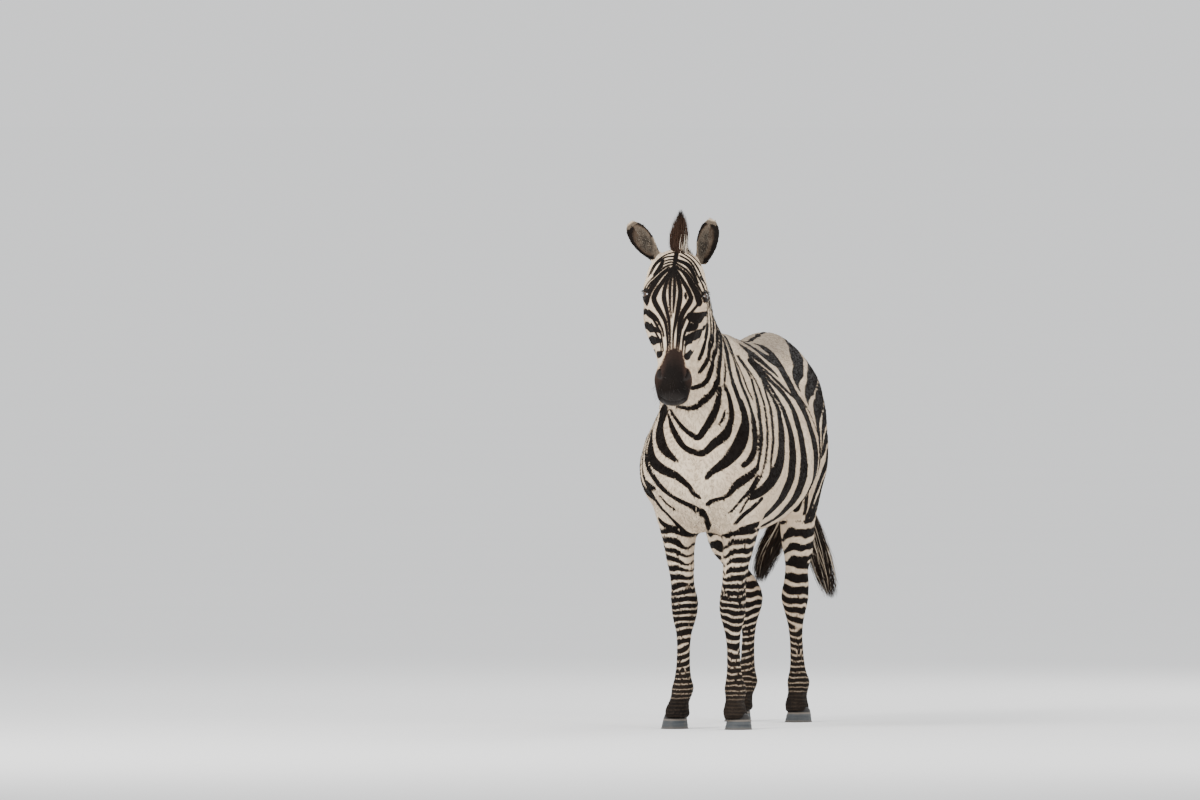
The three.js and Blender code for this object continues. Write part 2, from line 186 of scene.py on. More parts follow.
def distance_to(points, line, limit):
    """The distance of each point from a line given as close points, up to a limit."""
    far = np.full(len(points), float(limit))
    for part in near_line(points, line, limit):
        gaps = points[part, None] - line[None]
        far[part] = np.minimum(np.sqrt((gaps ** 2).sum(2)).min(1), limit)
    return far


# ---- Meshes as arrays ----

def link(name, mesh):
    piece = bpy.data.objects.new(name, mesh)
    bpy.context.scene.collection.objects.link(piece)
    return piece


def triangles_of(mesh):
    mesh.calc_loop_triangles()
    flat = np.empty(len(mesh.loop_triangles) * 3, np.int32)
    mesh.loop_triangles.foreach_get("vertices", flat)
    return flat.reshape(-1, 3).astype(np.int64)


def points_of(mesh):
    flat = np.empty(len(mesh.vertices) * 3, np.float32)
    mesh.vertices.foreach_get("co", flat)
    return flat.reshape(-1, 3).astype(float)


def mesh_from(name, points, triangles):
    mesh = bpy.data.meshes.new(name)
    mesh.vertices.add(len(points))
    mesh.vertices.foreach_set("co", np.ascontiguousarray(points, np.float32).ravel())
    mesh.loops.add(len(triangles) * 3)
    mesh.loops.foreach_set("vertex_index", np.ascontiguousarray(triangles, np.int32).ravel())
    mesh.polygons.add(len(triangles))
    mesh.polygons.foreach_set("loop_start", np.arange(0, len(triangles) * 3, 3, dtype=np.int32))
    mesh.polygons.foreach_set("use_smooth", np.ones(len(triangles), bool))
    mesh.update(calc_edges=True)
    mesh.validate()
    return mesh


def evaluated(piece):
    """The points and triangles of a piece with its modifiers; the piece itself is removed."""
    draft, shaped = piece.data, piece.evaluated_get(bpy.context.evaluated_depsgraph_get())
    mesh = bpy.data.meshes.new_from_object(shaped)
    points, triangles = points_of(mesh), triangles_of(mesh)
    bpy.data.objects.remove(piece)
    for used in (draft, mesh):
        bpy.data.meshes.remove(used)
    return points, triangles


def merged_copy(node):
    """A CAD node whose loose triangles are joined."""
    body = bmesh.new()
    body.from_mesh(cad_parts[node].data)
    bmesh.ops.remove_doubles(body, verts=body.verts, dist=1e-6)
    return body


def closed_mesh(body, name):
    mesh = bpy.data.meshes.new(name)
    body.to_mesh(mesh)
    body.free()
    return mesh


def give(mesh, name, values):
    """A number for each vertex, which a material reads as an attribute."""
    attribute = mesh.attributes.new(name, "FLOAT", "POINT")
    attribute.data.foreach_set("value", np.ascontiguousarray(values, np.float32))


def edges_of(triangles):
    pairs = np.sort(np.vstack((triangles[:, (0, 1)], triangles[:, (1, 2)], triangles[:, (2, 0)])), 1)
    return np.unique(pairs, axis=0)


def facing(corners):
    """Each triangle's normal, twice as long as its area."""
    return np.cross(corners[:, 1] - corners[:, 0], corners[:, 2] - corners[:, 0])


def turned_out(points, faces):
    """The faces of a closed shape, turned so that they point outwards."""
    corners = points[faces]
    outwards = (facing(corners) * (corners.mean(1) - points.mean(0))).sum() > 0
    return faces if outwards else faces[:, ::-1]


def normals_of(points, triangles):
    faces = facing(points[triangles])
    normals = np.zeros_like(points)
    for axis in range(3):
        for corner in range(3):
            normals[:, axis] += np.bincount(triangles[:, corner], faces[:, axis], len(points))
    return unit(normals)


def largest_piece(points, triangles):
    """Only the largest connected part of a mesh."""
    edges = edges_of(triangles)
    label = np.arange(len(points))
    while True:
        lowest = np.minimum(label[edges[:, 0]], label[edges[:, 1]])
        new = label.copy()
        np.minimum.at(new, edges[:, 0], lowest)
        np.minimum.at(new, edges[:, 1], lowest)
        new = new[new]
        if np.array_equal(new, label):
            break
        label = new
    kept = label == np.bincount(label).argmax()
    place = np.cumsum(kept) - 1
    return points[kept], place[triangles[kept[triangles[:, 0]]]]


def refine(points, triangles, chosen):
    """Halves the edges of the chosen triangles, and closes up to the others without gaps."""
    sides = np.sort(triangles[:, ((0, 1), (1, 2), (2, 0))], axis=2)
    keys = sides[..., 0] * len(points) + sides[..., 1]
    split = np.unique(keys[chosen])
    found = np.searchsorted(split, keys)
    found[found == len(split)] = 0
    is_split = split[found] == keys
    middle = found + len(points)
    points = np.vstack((points, (points[split // len(points)] + points[split % len(points)]) / 2))
    count = is_split.sum(1)
    made = [triangles[count == 0]]
    a, b, c = triangles[count == 3].T
    ab, bc, ca = middle[count == 3].T
    made += [np.stack(t, 1) for t in ((a, ab, ca), (ab, b, bc), (ca, bc, c), (ab, bc, ca))]
    for turn in range(3):
        order = [(turn + k) % 3 for k in range(3)]
        one = (count == 1) & is_split[:, turn]
        a, b, c = triangles[one][:, order].T
        ab = middle[one, turn]
        made += [np.stack((a, ab, c), 1), np.stack((ab, b, c), 1)]
        two = (count == 2) & ~is_split[:, turn]
        a, b, c = triangles[two][:, order].T
        bc, ca = middle[two][:, (order[1], order[2])].T
        made += [np.stack((a, b, bc), 1), np.stack((a, bc, ca), 1), np.stack((ca, bc, c), 1)]
    return points, np.vstack(made)


def relax(points, triangles, strength, rounds=30):
    """Smooths a mesh by its own strength at each vertex, without stepping through time.

    It solves (1 / strength + Laplacian) x = points / strength by conjugate gradients.
    """
    edges = edges_of(triangles)
    size = len(points)
    degree = np.bincount(edges.ravel(), minlength=size).astype(float)[:, None]
    weight = 1 / np.maximum(strength, 1e-6)[:, None]

    def applied(x):
        out = (weight + degree) * x
        for axis in range(x.shape[1]):
            out[:, axis] -= np.bincount(edges[:, 0], x[edges[:, 1], axis], size)
            out[:, axis] -= np.bincount(edges[:, 1], x[edges[:, 0], axis], size)
        return out

    x = points.copy()
    rest = weight * points - applied(x)
    scaled = rest / (weight + degree)
    step = scaled.copy()
    size_now = (rest * scaled).sum(0)
    for _ in range(rounds):
        change = applied(step)
        share = size_now / np.maximum((step * change).sum(0), 1e-30)
        x += share * step
        rest -= share * change
        scaled = rest / (weight + degree)
        size_next = (rest * scaled).sum(0)
        step = scaled + size_next / np.maximum(size_now, 1e-30) * step
        size_now = size_next
    return x


def tree_of(points, triangles):
    return BVHTree.FromPolygons(points.tolist(), triangles.tolist(), all_triangles=True)


# ---- The skin: one closed surface over the parts of flesh ----

VOXEL = 4 * MM
SWELL = 0.6 * MM  # closes the joint lines between the frame's solids before they are merged

# How far the folds between two parts are rounded, and the parts themselves, in mm.
ROUNDING = {
    "trunk": 26, "neck": 20, "head": 7, "tail_dock": 8, "ear": 3.4, "upper_leg": 9,
    "lower_leg": 5.5, "eye": 5,
}
FOLD_ROUNDING = 30
COAT_DEPTH = {
    "trunk": 4.0, "neck": 4.0, "head": 2.0, "tail_dock": 3.0, "ear": 0.8, "upper_leg": 3.0,
    "lower_leg": 2.0, "eye": 2.0,
}


def kind_of(node):
    return next(kind for kind in ROUNDING if node.startswith(kind))


def solid_copy(node, into):
    """Adds a merged copy of a CAD node to the mesh `into`, swollen a little."""
    body = merged_copy(node)
    bmesh.ops.recalc_face_normals(body, faces=body.faces)
    body.normal_update()
    for vert in body.verts:
        vert.co += vert.normal * SWELL
    copy = closed_mesh(body, "copy")
    into.from_mesh(copy)
    bpy.data.meshes.remove(copy)


def merged_flesh(nodes):
    """The nodes as one voxel surface without inner walls."""
    body = bmesh.new()
    for node in nodes:
        solid_copy(node, body)
    piece = link("flesh", closed_mesh(body, "flesh"))
    remesh = piece.modifiers.new("merge", "REMESH")
    remesh.mode = "VOXEL"
    remesh.voxel_size = VOXEL
    remesh.adaptivity = 0
    return largest_piece(*evaluated(piece))


def nearest_nodes(points, nodes):
    """For each point the index in `nodes` of the CAD node that it lies on."""
    best = np.full(len(points), np.inf)
    label = np.zeros(len(points), int)
    for index, node in enumerate(nodes):
        low, high = (np.array(corner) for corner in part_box(node))
        near = ((points > low - 0.03) & (points < high + 0.03)).all(1)
        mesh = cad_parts[node].data
        tree = tree_of(points_of(mesh), triangles_of(mesh))
        places = np.flatnonzero(near)
        found = np.array([tree.find_nearest(points[i].tolist(), 0.05)[3] or 1.0 for i in places])
        better = found < best[places]
        best[places[better]] = found[better]
        label[places[better]] = index
    return label


class Clay:
    """The skin while it is being shaped, with the part that each of its vertices lies on."""

    def __init__(self, points, triangles, label, nodes):
        self.points, self.triangles = points, triangles
        self.label, self.nodes = label, nodes
        self.normals = normals_of(points, triangles)

    def settle(self):
        self.normals = normals_of(self.points, self.triangles)

    def on(self, *starts):
        wanted = [i for i, node in enumerate(self.nodes) if node.startswith(starts)]
        return np.isin(self.label, wanted)

    def by_part(self, table):
        values = np.array([table[kind_of(node)] for node in self.nodes], float)
        return values[self.label]

    def refine(self, near):
        """Halves the edges of the triangles with all corners in the mask `near`."""
        chosen = near[self.triangles].all(1)
        before = len(self.points)
        self.points, self.triangles = refine(self.points, self.triangles, chosen)
        edges = edges_of(self.triangles)
        new = (edges[:, 1] >= before) & (edges[:, 0] < before)
        label = np.zeros(len(self.points), int)
        label[:before] = self.label
        label[edges[new, 1]] = self.label[edges[new, 0]]
        self.label = label
        self.settle()

    def push(self, amounts, direction=None):
        self.points += (self.normals if direction is None else direction) * amounts[:, None]


def spread(clay, values, size):
    """A number on the skin, blurred over `size` millimetres."""
    strength = np.full(len(values), (size * MM / VOXEL) ** 2 / 2)
    return relax(values[:, None], clay.triangles, strength, 25)[:, 0]


def round_folds(clay):
    """Rounds every part by its own amount, and more where two parts meet."""
    edges = edges_of(clay.triangles)
    groups = {"upper_leg": 1, "trunk": 2, "neck": 3, "head": 4, "tail_dock": 5, "eye": 4,
              "ear": 4, "lower_leg": 1}
    part = clay.by_part(groups)
    meeting = np.zeros(len(clay.points))
    meeting[edges[part[edges[:, 0]] != part[edges[:, 1]]].ravel()] = 1
    fold = np.clip(spread(clay, meeting, FOLD_ROUNDING) * 9, 0, 1)
    own = spread(clay, clay.by_part(ROUNDING), 12)
    size = own + fold * np.clip(FOLD_ROUNDING - own, 0, None)
    size[clay.on("ear")] = np.minimum(size[clay.on("ear")], ROUNDING["ear"])
    clay.points = relax(clay.points, clay.triangles, (size * MM / VOXEL) ** 2 / 2, 40)
    clay.settle()


def draw_in(clay):
    """Moves the skin inside the solids by the depth of the coat."""
    depth = spread(clay, clay.by_part(COAT_DEPTH), 15)
    clay.push(-(depth * MM))
    clay.settle()


# ---- Forms of the body ----

# Muscles and hollows on both sides: middle [across, back, up], reach, height, all in mm.
BODY_FORMS = [
    ((205, 330, 985), (60, 85, 95), -9),  # hollow of the flank
    ((175, 385, 1130), (60, 55, 50), 7),  # point of the hip
    ((150, 520, 1130), (80, 110, 80), 6),  # croup muscle
    ((165, 620, 900), (60, 90, 120), 5),  # thigh
    ((165, 470, 700), (50, 50, 45), 8),  # stifle
    ((170, -400, 860), (45, 45, 55), 9),  # point of the shoulder
    ((120, -190, 1170), (60, 60, 70), 5),  # top of the shoulder blade
    ((125, -330, 1080), (50, 60, 80), -6),  # hollow before the shoulder
    ((205, -210, 830), (60, 70, 90), 9),  # upper arm muscle
    ((215, -85, 840), (50, 26, 110), -6),  # behind the elbow
    ((150, -135, 715), (30, 32, 30), 7),  # elbow
    ((80, -440, 770), (55, 60, 75), 10),  # breast muscle
    ((95, -355, 690), (45, 60, 50), 5),
    ((60, -300, 648), (40, 120, 30), -4),
]
# Grooves on both sides: [width, depth] and the points they run through, in mm.
BODY_GROOVES = [
    ((17, 9), [(0, -470, 880), (0, -455, 790), (0, -405, 700), (0, -330, 645)]),  # breastbone
    ((26, 5), [(190, 640, 1040), (178, 655, 900), (150, 640, 760), (120, 640, 640)]),  # thigh
    ((22, 5), [(110, -560, 1230), (120, -470, 1110), (120, -420, 1000)]),  # throat vein
    ((16, 7), [(0, 800, 1010), (0, 830, 930), (0, 815, 820), (0, 790, 720)]),  # between thighs
]


def sculpt_body(clay):
    body = spread(clay, (~clay.on("head", "ear", "eye", "lower_leg")).astype(float), 14)
    place = as_drawn(clay.points)
    tree = tree_of(place, clay.triangles)
    amount = mounds(place, BODY_FORMS)
    for (width, depth), path in BODY_GROOVES:
        for side in (1,) if path[0][0] == 0 else (-1, 1):
            line = laid_on(tree, curve_through(mirrored(path, side), 8))
            amount -= depth * bell(distance_to(place, line, width * 3) / width)
    ribs = bell((place[:, 2] - 860) / 150) * ease(place[:, 1], -120, 20)
    ribs *= ease(place[:, 1], 330, 180) * ease(abs(place[:, 0]), 100, 190)
    amount += 0.8 * ribs * np.sin((place[:, 1] + 0.25 * (place[:, 2] - 860)) * 2 * math.pi / 46)
    amount += 0.7 * ripple(place, 70, 11)
    clay.push(body * amount * MM)
    clay.settle()


def laid_on(tree, line):
    """The nearest points of a surface to the points of a line."""
    return np.array([tree.find_nearest(point)[0] for point in line.tolist()])


class Leg:
    """Where a leg runs: its middle, front and back at each height, read from the skin."""

    def __init__(self, clay, name):
        self.mask = clay.on(f"upper_leg_{name}", f"lower_leg_{name}")
        self.side = 1 if name.endswith("left") else -1
        self.fore = name.startswith("front")
        points = clay.points[self.mask]
        self.heights = np.arange(0.05, 0.64, 0.015)
        rows = []
        for height in self.heights:
            ring = points[abs(points[:, 2] - height) < 0.01]
            low, high = ring[:, :2].min(0), ring[:, :2].max(0)
            rows.append(((low[0] + high[0]) / 2, low[1], high[1], (high[0] - low[0]) / 2))
        rows = np.array(rows)
        kernel = np.array((0.25, 0.5, 0.25))
        rows[1:-1] = sum(k * rows[i:len(rows) - 2 + i] for i, k in enumerate(kernel))
        self.rows = rows

    def places(self, points):
        """Across (outwards), back, up, half width and half depth for each point, in mm."""
        x, front, back, half = (np.interp(points[:, 2], self.heights, row) for row in self.rows.T)
        return np.stack((
            (points[:, 0] - x) * self.side, points[:, 1] - (front + back) / 2, points[:, 2],
            half, (back - front) / 2), 1) / MM


# Bumps of a leg: middle [across, back, up] as shares of the leg's half width and depth with
# the height in mm, then the reach as shares and mm, and the height of the bump in mm.
FETLOCK_FORMS = [
    ((0.0, 1.0, 128), (1.0, 0.6, 16), 3.0), ((0.9, 0.3, 135), (0.5, 0.5, 14), 1.5),
    ((-0.9, 0.3, 135), (0.5, 0.5, 14), 1.5),
]
FORELEG_FORMS = [
    ((0.0, -0.9, 402), (0.9, 0.7, 30), 2.0),  # front of the knee
    ((0.6, 0.95, 402), (0.8, 0.6, 16), 4.0),  # bone behind the knee
    ((-0.6, 0.95, 402), (0.8, 0.6, 16), 3.0),
    ((0.95, 0.0, 415), (0.5, 0.8, 20), 1.6),
    ((-0.95, 0.0, 415), (0.5, 0.8, 20), 1.6),
    ((0.9, 0.1, 560), (0.7, 0.8, 60), 3.5),  # forearm muscle
] + FETLOCK_FORMS
HINDLEG_FORMS = [
    ((0.0, 1.0, 438), (0.8, 0.5, 22), 4.0),  # point of the hock
    ((-0.9, -0.5, 405), (0.6, 0.6, 26), 3.0),
    ((0.9, -0.3, 405), (0.6, 0.6, 22), 2.0),
    ((0.9, -0.4, 570), (0.8, 0.8, 60), 4.0),  # gaskin muscle
] + FETLOCK_FORMS
# Furrows between bone and tendon: share of the leg's depth, from, to, width and depth, in mm.
FORELEG_FURROWS = [(0.22, 150, 350, 5, 2.6), (0.05, 440, 600, 9, 2.2)]
HINDLEG_FURROWS = [(0.28, 150, 350, 5, 2.6), (0.52, 455, 600, 9, 5.5)]


def sculpt_legs(clay):
    for name in LEGS:
        leg = Leg(clay, name)
        across, back, up, half, deep = leg.places(clay.points).T
        shares = np.stack((across / half, back / deep, up), 1)
        amount = np.zeros(len(across))
        for middle, reach, height in FORELEG_FORMS if leg.fore else HINDLEG_FORMS:
            amount += height * np.exp(-(((shares - middle) / reach) ** 2).sum(1))
        for share, low, high, width, depth in FORELEG_FURROWS if leg.fore else HINDLEG_FURROWS:
            along = ease(up, low - 25, low + 15) * ease(up, high + 25, high - 15)
            amount -= depth * along * bell((back - share * deep) / width)
        chestnut = bell((((shares - (-0.95, 0.1, 520)) / (0.5, 0.3, 16)) ** 2).sum(1))
        amount += 2 * chestnut * leg.fore  # the bare callus inside the forearm
        amount += 2.5 * bell((up - 62 + back * 0.25) / 5)  # rim of hair over the hoof
        amount += 4.5 * ease(up + 0.2 * back, 90, 52)  # the coronet flares out to the hoof
        clay.push(np.where(leg.mask, amount, 0) * MM)
        clay.points[:, 2] -= leg.mask * 9 * MM * ease(up, 84, 58)
    clay.settle()


# ---- The head ----

# Forms of the head in its own frame: middle, reach and height in mm, on both sides.
HEAD_FORMS = [
    ((86, -22, -146), (20, 20, 12), 4.5),  # brow
    ((78, -2, -112), (16, 20, 20), -5),  # hollow over the eye
    ((88, 30, -186), (16, 22, 12), 3),  # cheekbone behind the eye
    ((80, 0, -226), (12, 20, 24), 2.5),
    ((60, -22, -285), (16, 14, 60), -3.5),  # beside the nose
    ((66, 12, -300), (10, 9, 46), 3.5),  # facial crest
    ((62, 30, -345), (14, 22, 40), -3),
    ((84, 118, -190), (30, 52, 52), 4),  # cheek muscle
    ((70, 64, -270), (16, 16, 60), -3),
    ((30, -46, -330), (9, 12, 110), 1.6),  # edge of the nose bone
    ((52, 20, -420), (14, 24, 26), -2),  # above the corner of the mouth
    ((54, 10, -470), (12, 22, 22), 2.5),  # upper lip
    ((40, 60, -520), (16, 16, 16), 2.5),  # lower lip
    ((14, -34, -500), (16, 12, 22), 2),
    ((54, 0, -556), (24, 60, 30), -19),  # rounds the lips off below
    ((52, -26, -474), (12, 14, 20), 3.5),  # wing of the nostril
    ((44, -40, -420), (18, 16, 30), -3),
]
MOUTH = [(0, 15, -556), (26, 17, -545), (42, 27, -524), (49, 41, -496), (50, 56, -466)]
MOUTH_WIDTH = 3.2
MOUTH_DEPTH = 5.5
NOSTRIL = [(30, -42, -500), (41, -37, -488), (48, -27, -470), (47, -20, -456)]
NOSTRIL_WIDTH = 7.5
NOSTRIL_DEPTH = 15

# The eye looks outwards, forwards and a little down: its axis and the line of the slit.
EYE_AXIS = (0.9, -0.42, 0.06)
SLIT = (0.1, 0.9, 0.36)
SLIT_HALF = 16.5
UPPER_LID = 10.0
LOWER_LID = 7.5
LID_WALL = 2.4
LID_FILLET = 9


def nostril_line(side):
    return curve_through(mirrored(NOSTRIL, side), 1.5)


def eye_axes(side):
    axis, slit = unit(mirrored(EYE_AXIS, side)), mirrored(SLIT, side)
    slit = unit(slit - axis * (slit @ axis))
    up = np.cross(axis, slit) * side
    return axis, slit, up if up[2] > 0 else -up


def eye_middle(side):
    return in_head(box_middle("eye_left" if side > 0 else "eye_right")) - EYE_SINK * eye_axes(side)[0]


def inside_slit(along, up):
    """How far a place lies inside the opening of the lids, in mm."""
    top = UPPER_LID * (1 - abs(along / SLIT_HALF) ** 2.4)
    bottom = -LOWER_LID * (1 - abs(along / SLIT_HALF) ** 1.9)
    return np.minimum(top - up, up - bottom)


def sculpt_eyes(clay):
    radius = EYE_RADIUS / MM
    place = in_head(clay.points)
    moved = place.copy()
    for side in (-1, 1):
        axis, slit, up = eye_axes(side)
        away = place - eye_middle(side)
        far = np.linalg.norm(away, axis=1)
        near = (far < 46) & (away @ axis > -6)
        ray = away[near] / far[near, None]
        along, above = ray @ slit * radius, ray @ up * radius
        depth = inside_slit(along, above)
        lid = radius + LID_WALL + 1.3 * bell((depth + 1.2) / 1.3)  # the rim stands up
        lid -= 1.6 * bell((depth + 6.5) / 1.5) * ease(above, -2, 4)  # folds round both lids
        lid -= 0.9 * bell((depth + 5.5) / 1.4) * ease(above, 0, -5)
        open_edge = ease(depth, -0.5, 0.8)
        wanted = lid + (radius - 5 - lid) * open_edge
        gap = far[near] - lid
        filled = (far[near] + lid + np.sqrt(gap ** 2 + LID_FILLET ** 2)) / 2
        hold = ease(np.hypot(along, above), radius, 12) * ease(ray @ axis, 0.1, 0.6)
        hold = np.maximum(hold, ease(depth, -3.5, -1))
        outer = ease(far[near], 46, 30) * filled + ease(far[near], 30, 46) * far[near]
        result = hold * wanted + (1 - hold) * outer
        moved[near] = eye_middle(side) + ray * result[:, None]
    clay.points = from_head(moved)
    clay.settle()


def sculpt_head(clay):
    skull = spread(clay, clay.on("head", "eye").astype(float), 14)
    place = in_head(clay.points)
    clay.push(skull * mounds(place, HEAD_FORMS) * MM)
    clay.settle()
    place = in_head(clay.points)
    tree = tree_of(place, clay.triangles)
    amount = np.zeros(len(place))
    for side in (-1, 1):
        mouth = laid_on(tree, curve_through(mirrored(MOUTH, side), 2))
        far = distance_to(place, mouth, 16) / MOUTH_WIDTH
        amount = np.minimum(amount, 0.7 * bell((far - 2.2) / 1.1) - MOUTH_DEPTH * bell(far))
        far = distance_to(place, nostril_line(side), 30) / NOSTRIL_WIDTH
        amount += 3.2 * bell((far - 1.35) / 0.5)
    clay.push(skull * amount * MM)
    clay.settle()
    place = in_head(clay.points)
    for side in (-1, 1):
        far = distance_to(place, nostril_line(side), 30) / NOSTRIL_WIDTH
        inwards = unit(np.array((-0.75 * side, 0.35, 0.55)))
        depth = NOSTRIL_DEPTH * ease(far, 1.0, 0.45) * skull
        place += depth[:, None] * inwards
    clay.points = from_head(place)
    clay.settle()


# ---- From clay to the finished skin ----

SKIN_TRIANGLES = 192_000


def detail_weight(clay):
    """0 where the mesh stays finest, near 1 where its triangles may be large."""
    place = in_head(clay.points)
    weight = spread(clay, clay.by_part({
        "trunk": 0.80, "neck": 0.79, "head": 0.50, "tail_dock": 0.7, "ear": 0.5,
        "upper_leg": 0.74, "lower_leg": 0.64, "eye": 0.3}), 10)
    for side in (-1, 1):
        for middle, reach in ((eye_middle(side), 34), (mirrored(NOSTRIL[1], side), 24)):
            far = np.linalg.norm(place - middle, axis=1)
            weight *= 0.12 + 0.88 * ease(far, reach * 0.6, reach)
    return weight


def thin_out(clay):
    """Fewer triangles, of the size that each place needs."""
    piece = link("skin_draft", mesh_from("skin_draft", clay.points, clay.triangles))
    group = piece.vertex_groups.new(name="detail")
    weight = np.round(detail_weight(clay), 2)
    for value in np.unique(weight):
        group.add(np.flatnonzero(weight == value).tolist(), float(value), "REPLACE")
    fewer = piece.modifiers.new("fewer", "DECIMATE")
    fewer.ratio = SKIN_TRIANGLES / len(clay.triangles)
    fewer.vertex_group = "detail"
    fewer.vertex_group_factor = 1000
    return evaluated(piece)


def shaped_skin():
    nodes = FLESH + EYES
    points, triangles = merged_flesh(nodes)
    clay = Clay(points, triangles, nearest_nodes(points, nodes), nodes)
    round_folds(clay)
    draw_in(clay)
    sculpt_body(clay)
    sculpt_legs(clay)
    clay.refine(clay.on("head", "eye") & (in_head(clay.points)[:, 2] < -20))
    place = in_head(clay.points)
    for side in (-1, 1):
        close = np.linalg.norm(place - eye_middle(side), axis=1) < 34
        close |= np.linalg.norm(place - mirrored(NOSTRIL[1], side), axis=1) < 30
        clay.refine(close & clay.on("head", "eye"))
        place = in_head(clay.points)
    sculpt_head(clay)
    sculpt_eyes(clay)
    softness = np.where(clay.on("ear"), 4.0, 0.5)
    clay.points = relax(clay.points, clay.triangles, softness, 12)
    clay.settle()
    return thin_out(clay)


# ---- Markings ----

# Every black stripe is a brush stroke: its half widths in mm, spread along it, and the points
# that it runs through. In the view "side" a point is (back, up) in mm, in "front" it is
# (across, up), in "face" (across, up) and in "cheek" (back, up) in the head's own frame.

def strokes(where, view, *rows):
    """Strokes on the side "both", "left" or "right", drawn in one view."""
    return [(where, view, widths, path) for widths, path in rows]


NECK_STRIPES = strokes(
    "both", "side",
    ((5, 8, 9, 10, 12, 12), [(-568, 1150), (-566, 1172), (-562, 1205), (-548, 1238), (-505, 1275),
        (-430, 1318), (-370, 1350)]),
    ((5, 7, 9, 10, 9), [(-566, 1210), (-562, 1255), (-535, 1298), (-480, 1345), (-420, 1385)]),
    ((5, 8, 9, 9), [(-592, 1190), (-600, 1250), (-585, 1310), (-540, 1365), (-480, 1410)]),
    ((4, 6, 8, 8), [(-612, 1262), (-617, 1320), (-595, 1380), (-545, 1430)]),
    ((4, 6, 8, 8), [(-620, 1345), (-625, 1400), (-600, 1450)]),
    ((6, 8, 9, 11, 12, 13), [(-552, 1080), (-537, 1115), (-537, 1153), (-530, 1195), (-500, 1228),
        (-440, 1262), (-370, 1300), (-330, 1320)]),
    ((9, 11, 13, 12, 12), [(-497, 1120), (-497, 1160), (-482, 1195), (-430, 1228), (-360, 1262),
        (-300, 1290)]),
    ((2, 4, 5, 3), [(-461, 1085), (-462, 1110), (-456, 1155), (-430, 1190)]),
) + strokes(
    "left", "side",
    ((10, 14, 17, 16, 13), [(-376, 1028), (-396, 1080), (-408, 1130), (-385, 1180), (-330, 1225),
        (-270, 1262)]),
    ((6, 9, 10, 12, 14, 15, 14), [(-428, 848), (-402, 876), (-368, 915), (-340, 957), (-312, 1000),
        (-298, 1050), (-298, 1110), (-275, 1165), (-225, 1215), (-190, 1250)]),
) + strokes(
    "right", "side",
    ((9, 14, 17, 14), [(-390, 1040), (-400, 1080), (-408, 1130), (-385, 1180), (-330, 1225), (-270, 1262)]),
    ((8, 13, 15, 14), [(-312, 1000), (-298, 1050), (-298, 1110), (-275, 1165), (-225, 1215), (-190, 1250)]),
) + strokes(
    "both", "side",
    ((6, 9, 10), [(-245, 1060), (-240, 1110), (-215, 1160), (-175, 1205), (-150, 1240)]),
)
FLANK_STRIPES = strokes(
    "both", "side",
    ((4, 5, 7, 7), [(-147, 1190), (-141, 1143), (-173, 1097), (-227, 1037), (-280, 983), (-320, 937),
        (-353, 897)]),
) + strokes(
    "left", "side",
    ((5, 5, 5), [(-353, 897), (-372, 868), (-386, 842)]),
) + strokes(
    "both", "side",
    ((4, 4, 4, 4, 3, 3), [(-133, 1190), (-124, 1137), (-147, 1083), (-200, 1023), (-247, 970), (-287, 930),
        (-313, 897), (-340, 857), (-363, 817), (-383, 777), (-377, 730), (-358, 695)]),
    ((3, 5, 5, 3), [(-93, 1103), (-133, 1057), (-173, 1010), (-207, 972), (-247, 930), (-282, 890),
        (-305, 850), (-318, 800)]),
    ((6, 8, 11, 17, 21, 21, 13), [(-80, 1175), (-74, 1143), (-83, 1097), (-93, 1063), (-107, 1017),
        (-140, 970), (-173, 930), (-207, 888), (-247, 845), (-287, 808), (-320, 780), (-367, 750)]),
    ((6, 8, 12, 19, 27, 30, 20), [(-66, 1180), (-58, 1130), (-57, 1083), (-66, 1017), (-73, 963), (-80, 910),
        (-76, 830), (-68, 765), (-60, 712), (-58, 675), (-66, 645)]),
    ((7, 10, 17, 23, 29, 32, 22), [(-55, 1190), (-27, 1117), (7, 1077), (20, 1030), (17, 963), (20, 910),
        (34, 857), (52, 810), (76, 765), (90, 722), (100, 690), (98, 655)]),
    ((5, 8, 10, 4), [(-50, 1175), (0, 1137), (40, 1097), (67, 1070), (95, 1056)]),
    ((8, 16, 14, 6), [(-60, 1225), (0, 1185), (45, 1150), (62, 1128)]),
    ((26, 26, 24, 22, 26, 27, 16), [(270, 1215), (200, 1175), (145, 1125), (122, 1070), (128, 1030),
        (140, 990), (160, 937), (190, 883), (215, 832), (238, 782), (250, 735), (250, 690)]),
    ((14, 20, 22), [(-20, 1262), (60, 1225), (100, 1190), (150, 1170)]),
    ((4, 4, 3), [(152, 1062), (200, 1003), (245, 955), (285, 900)]),
)
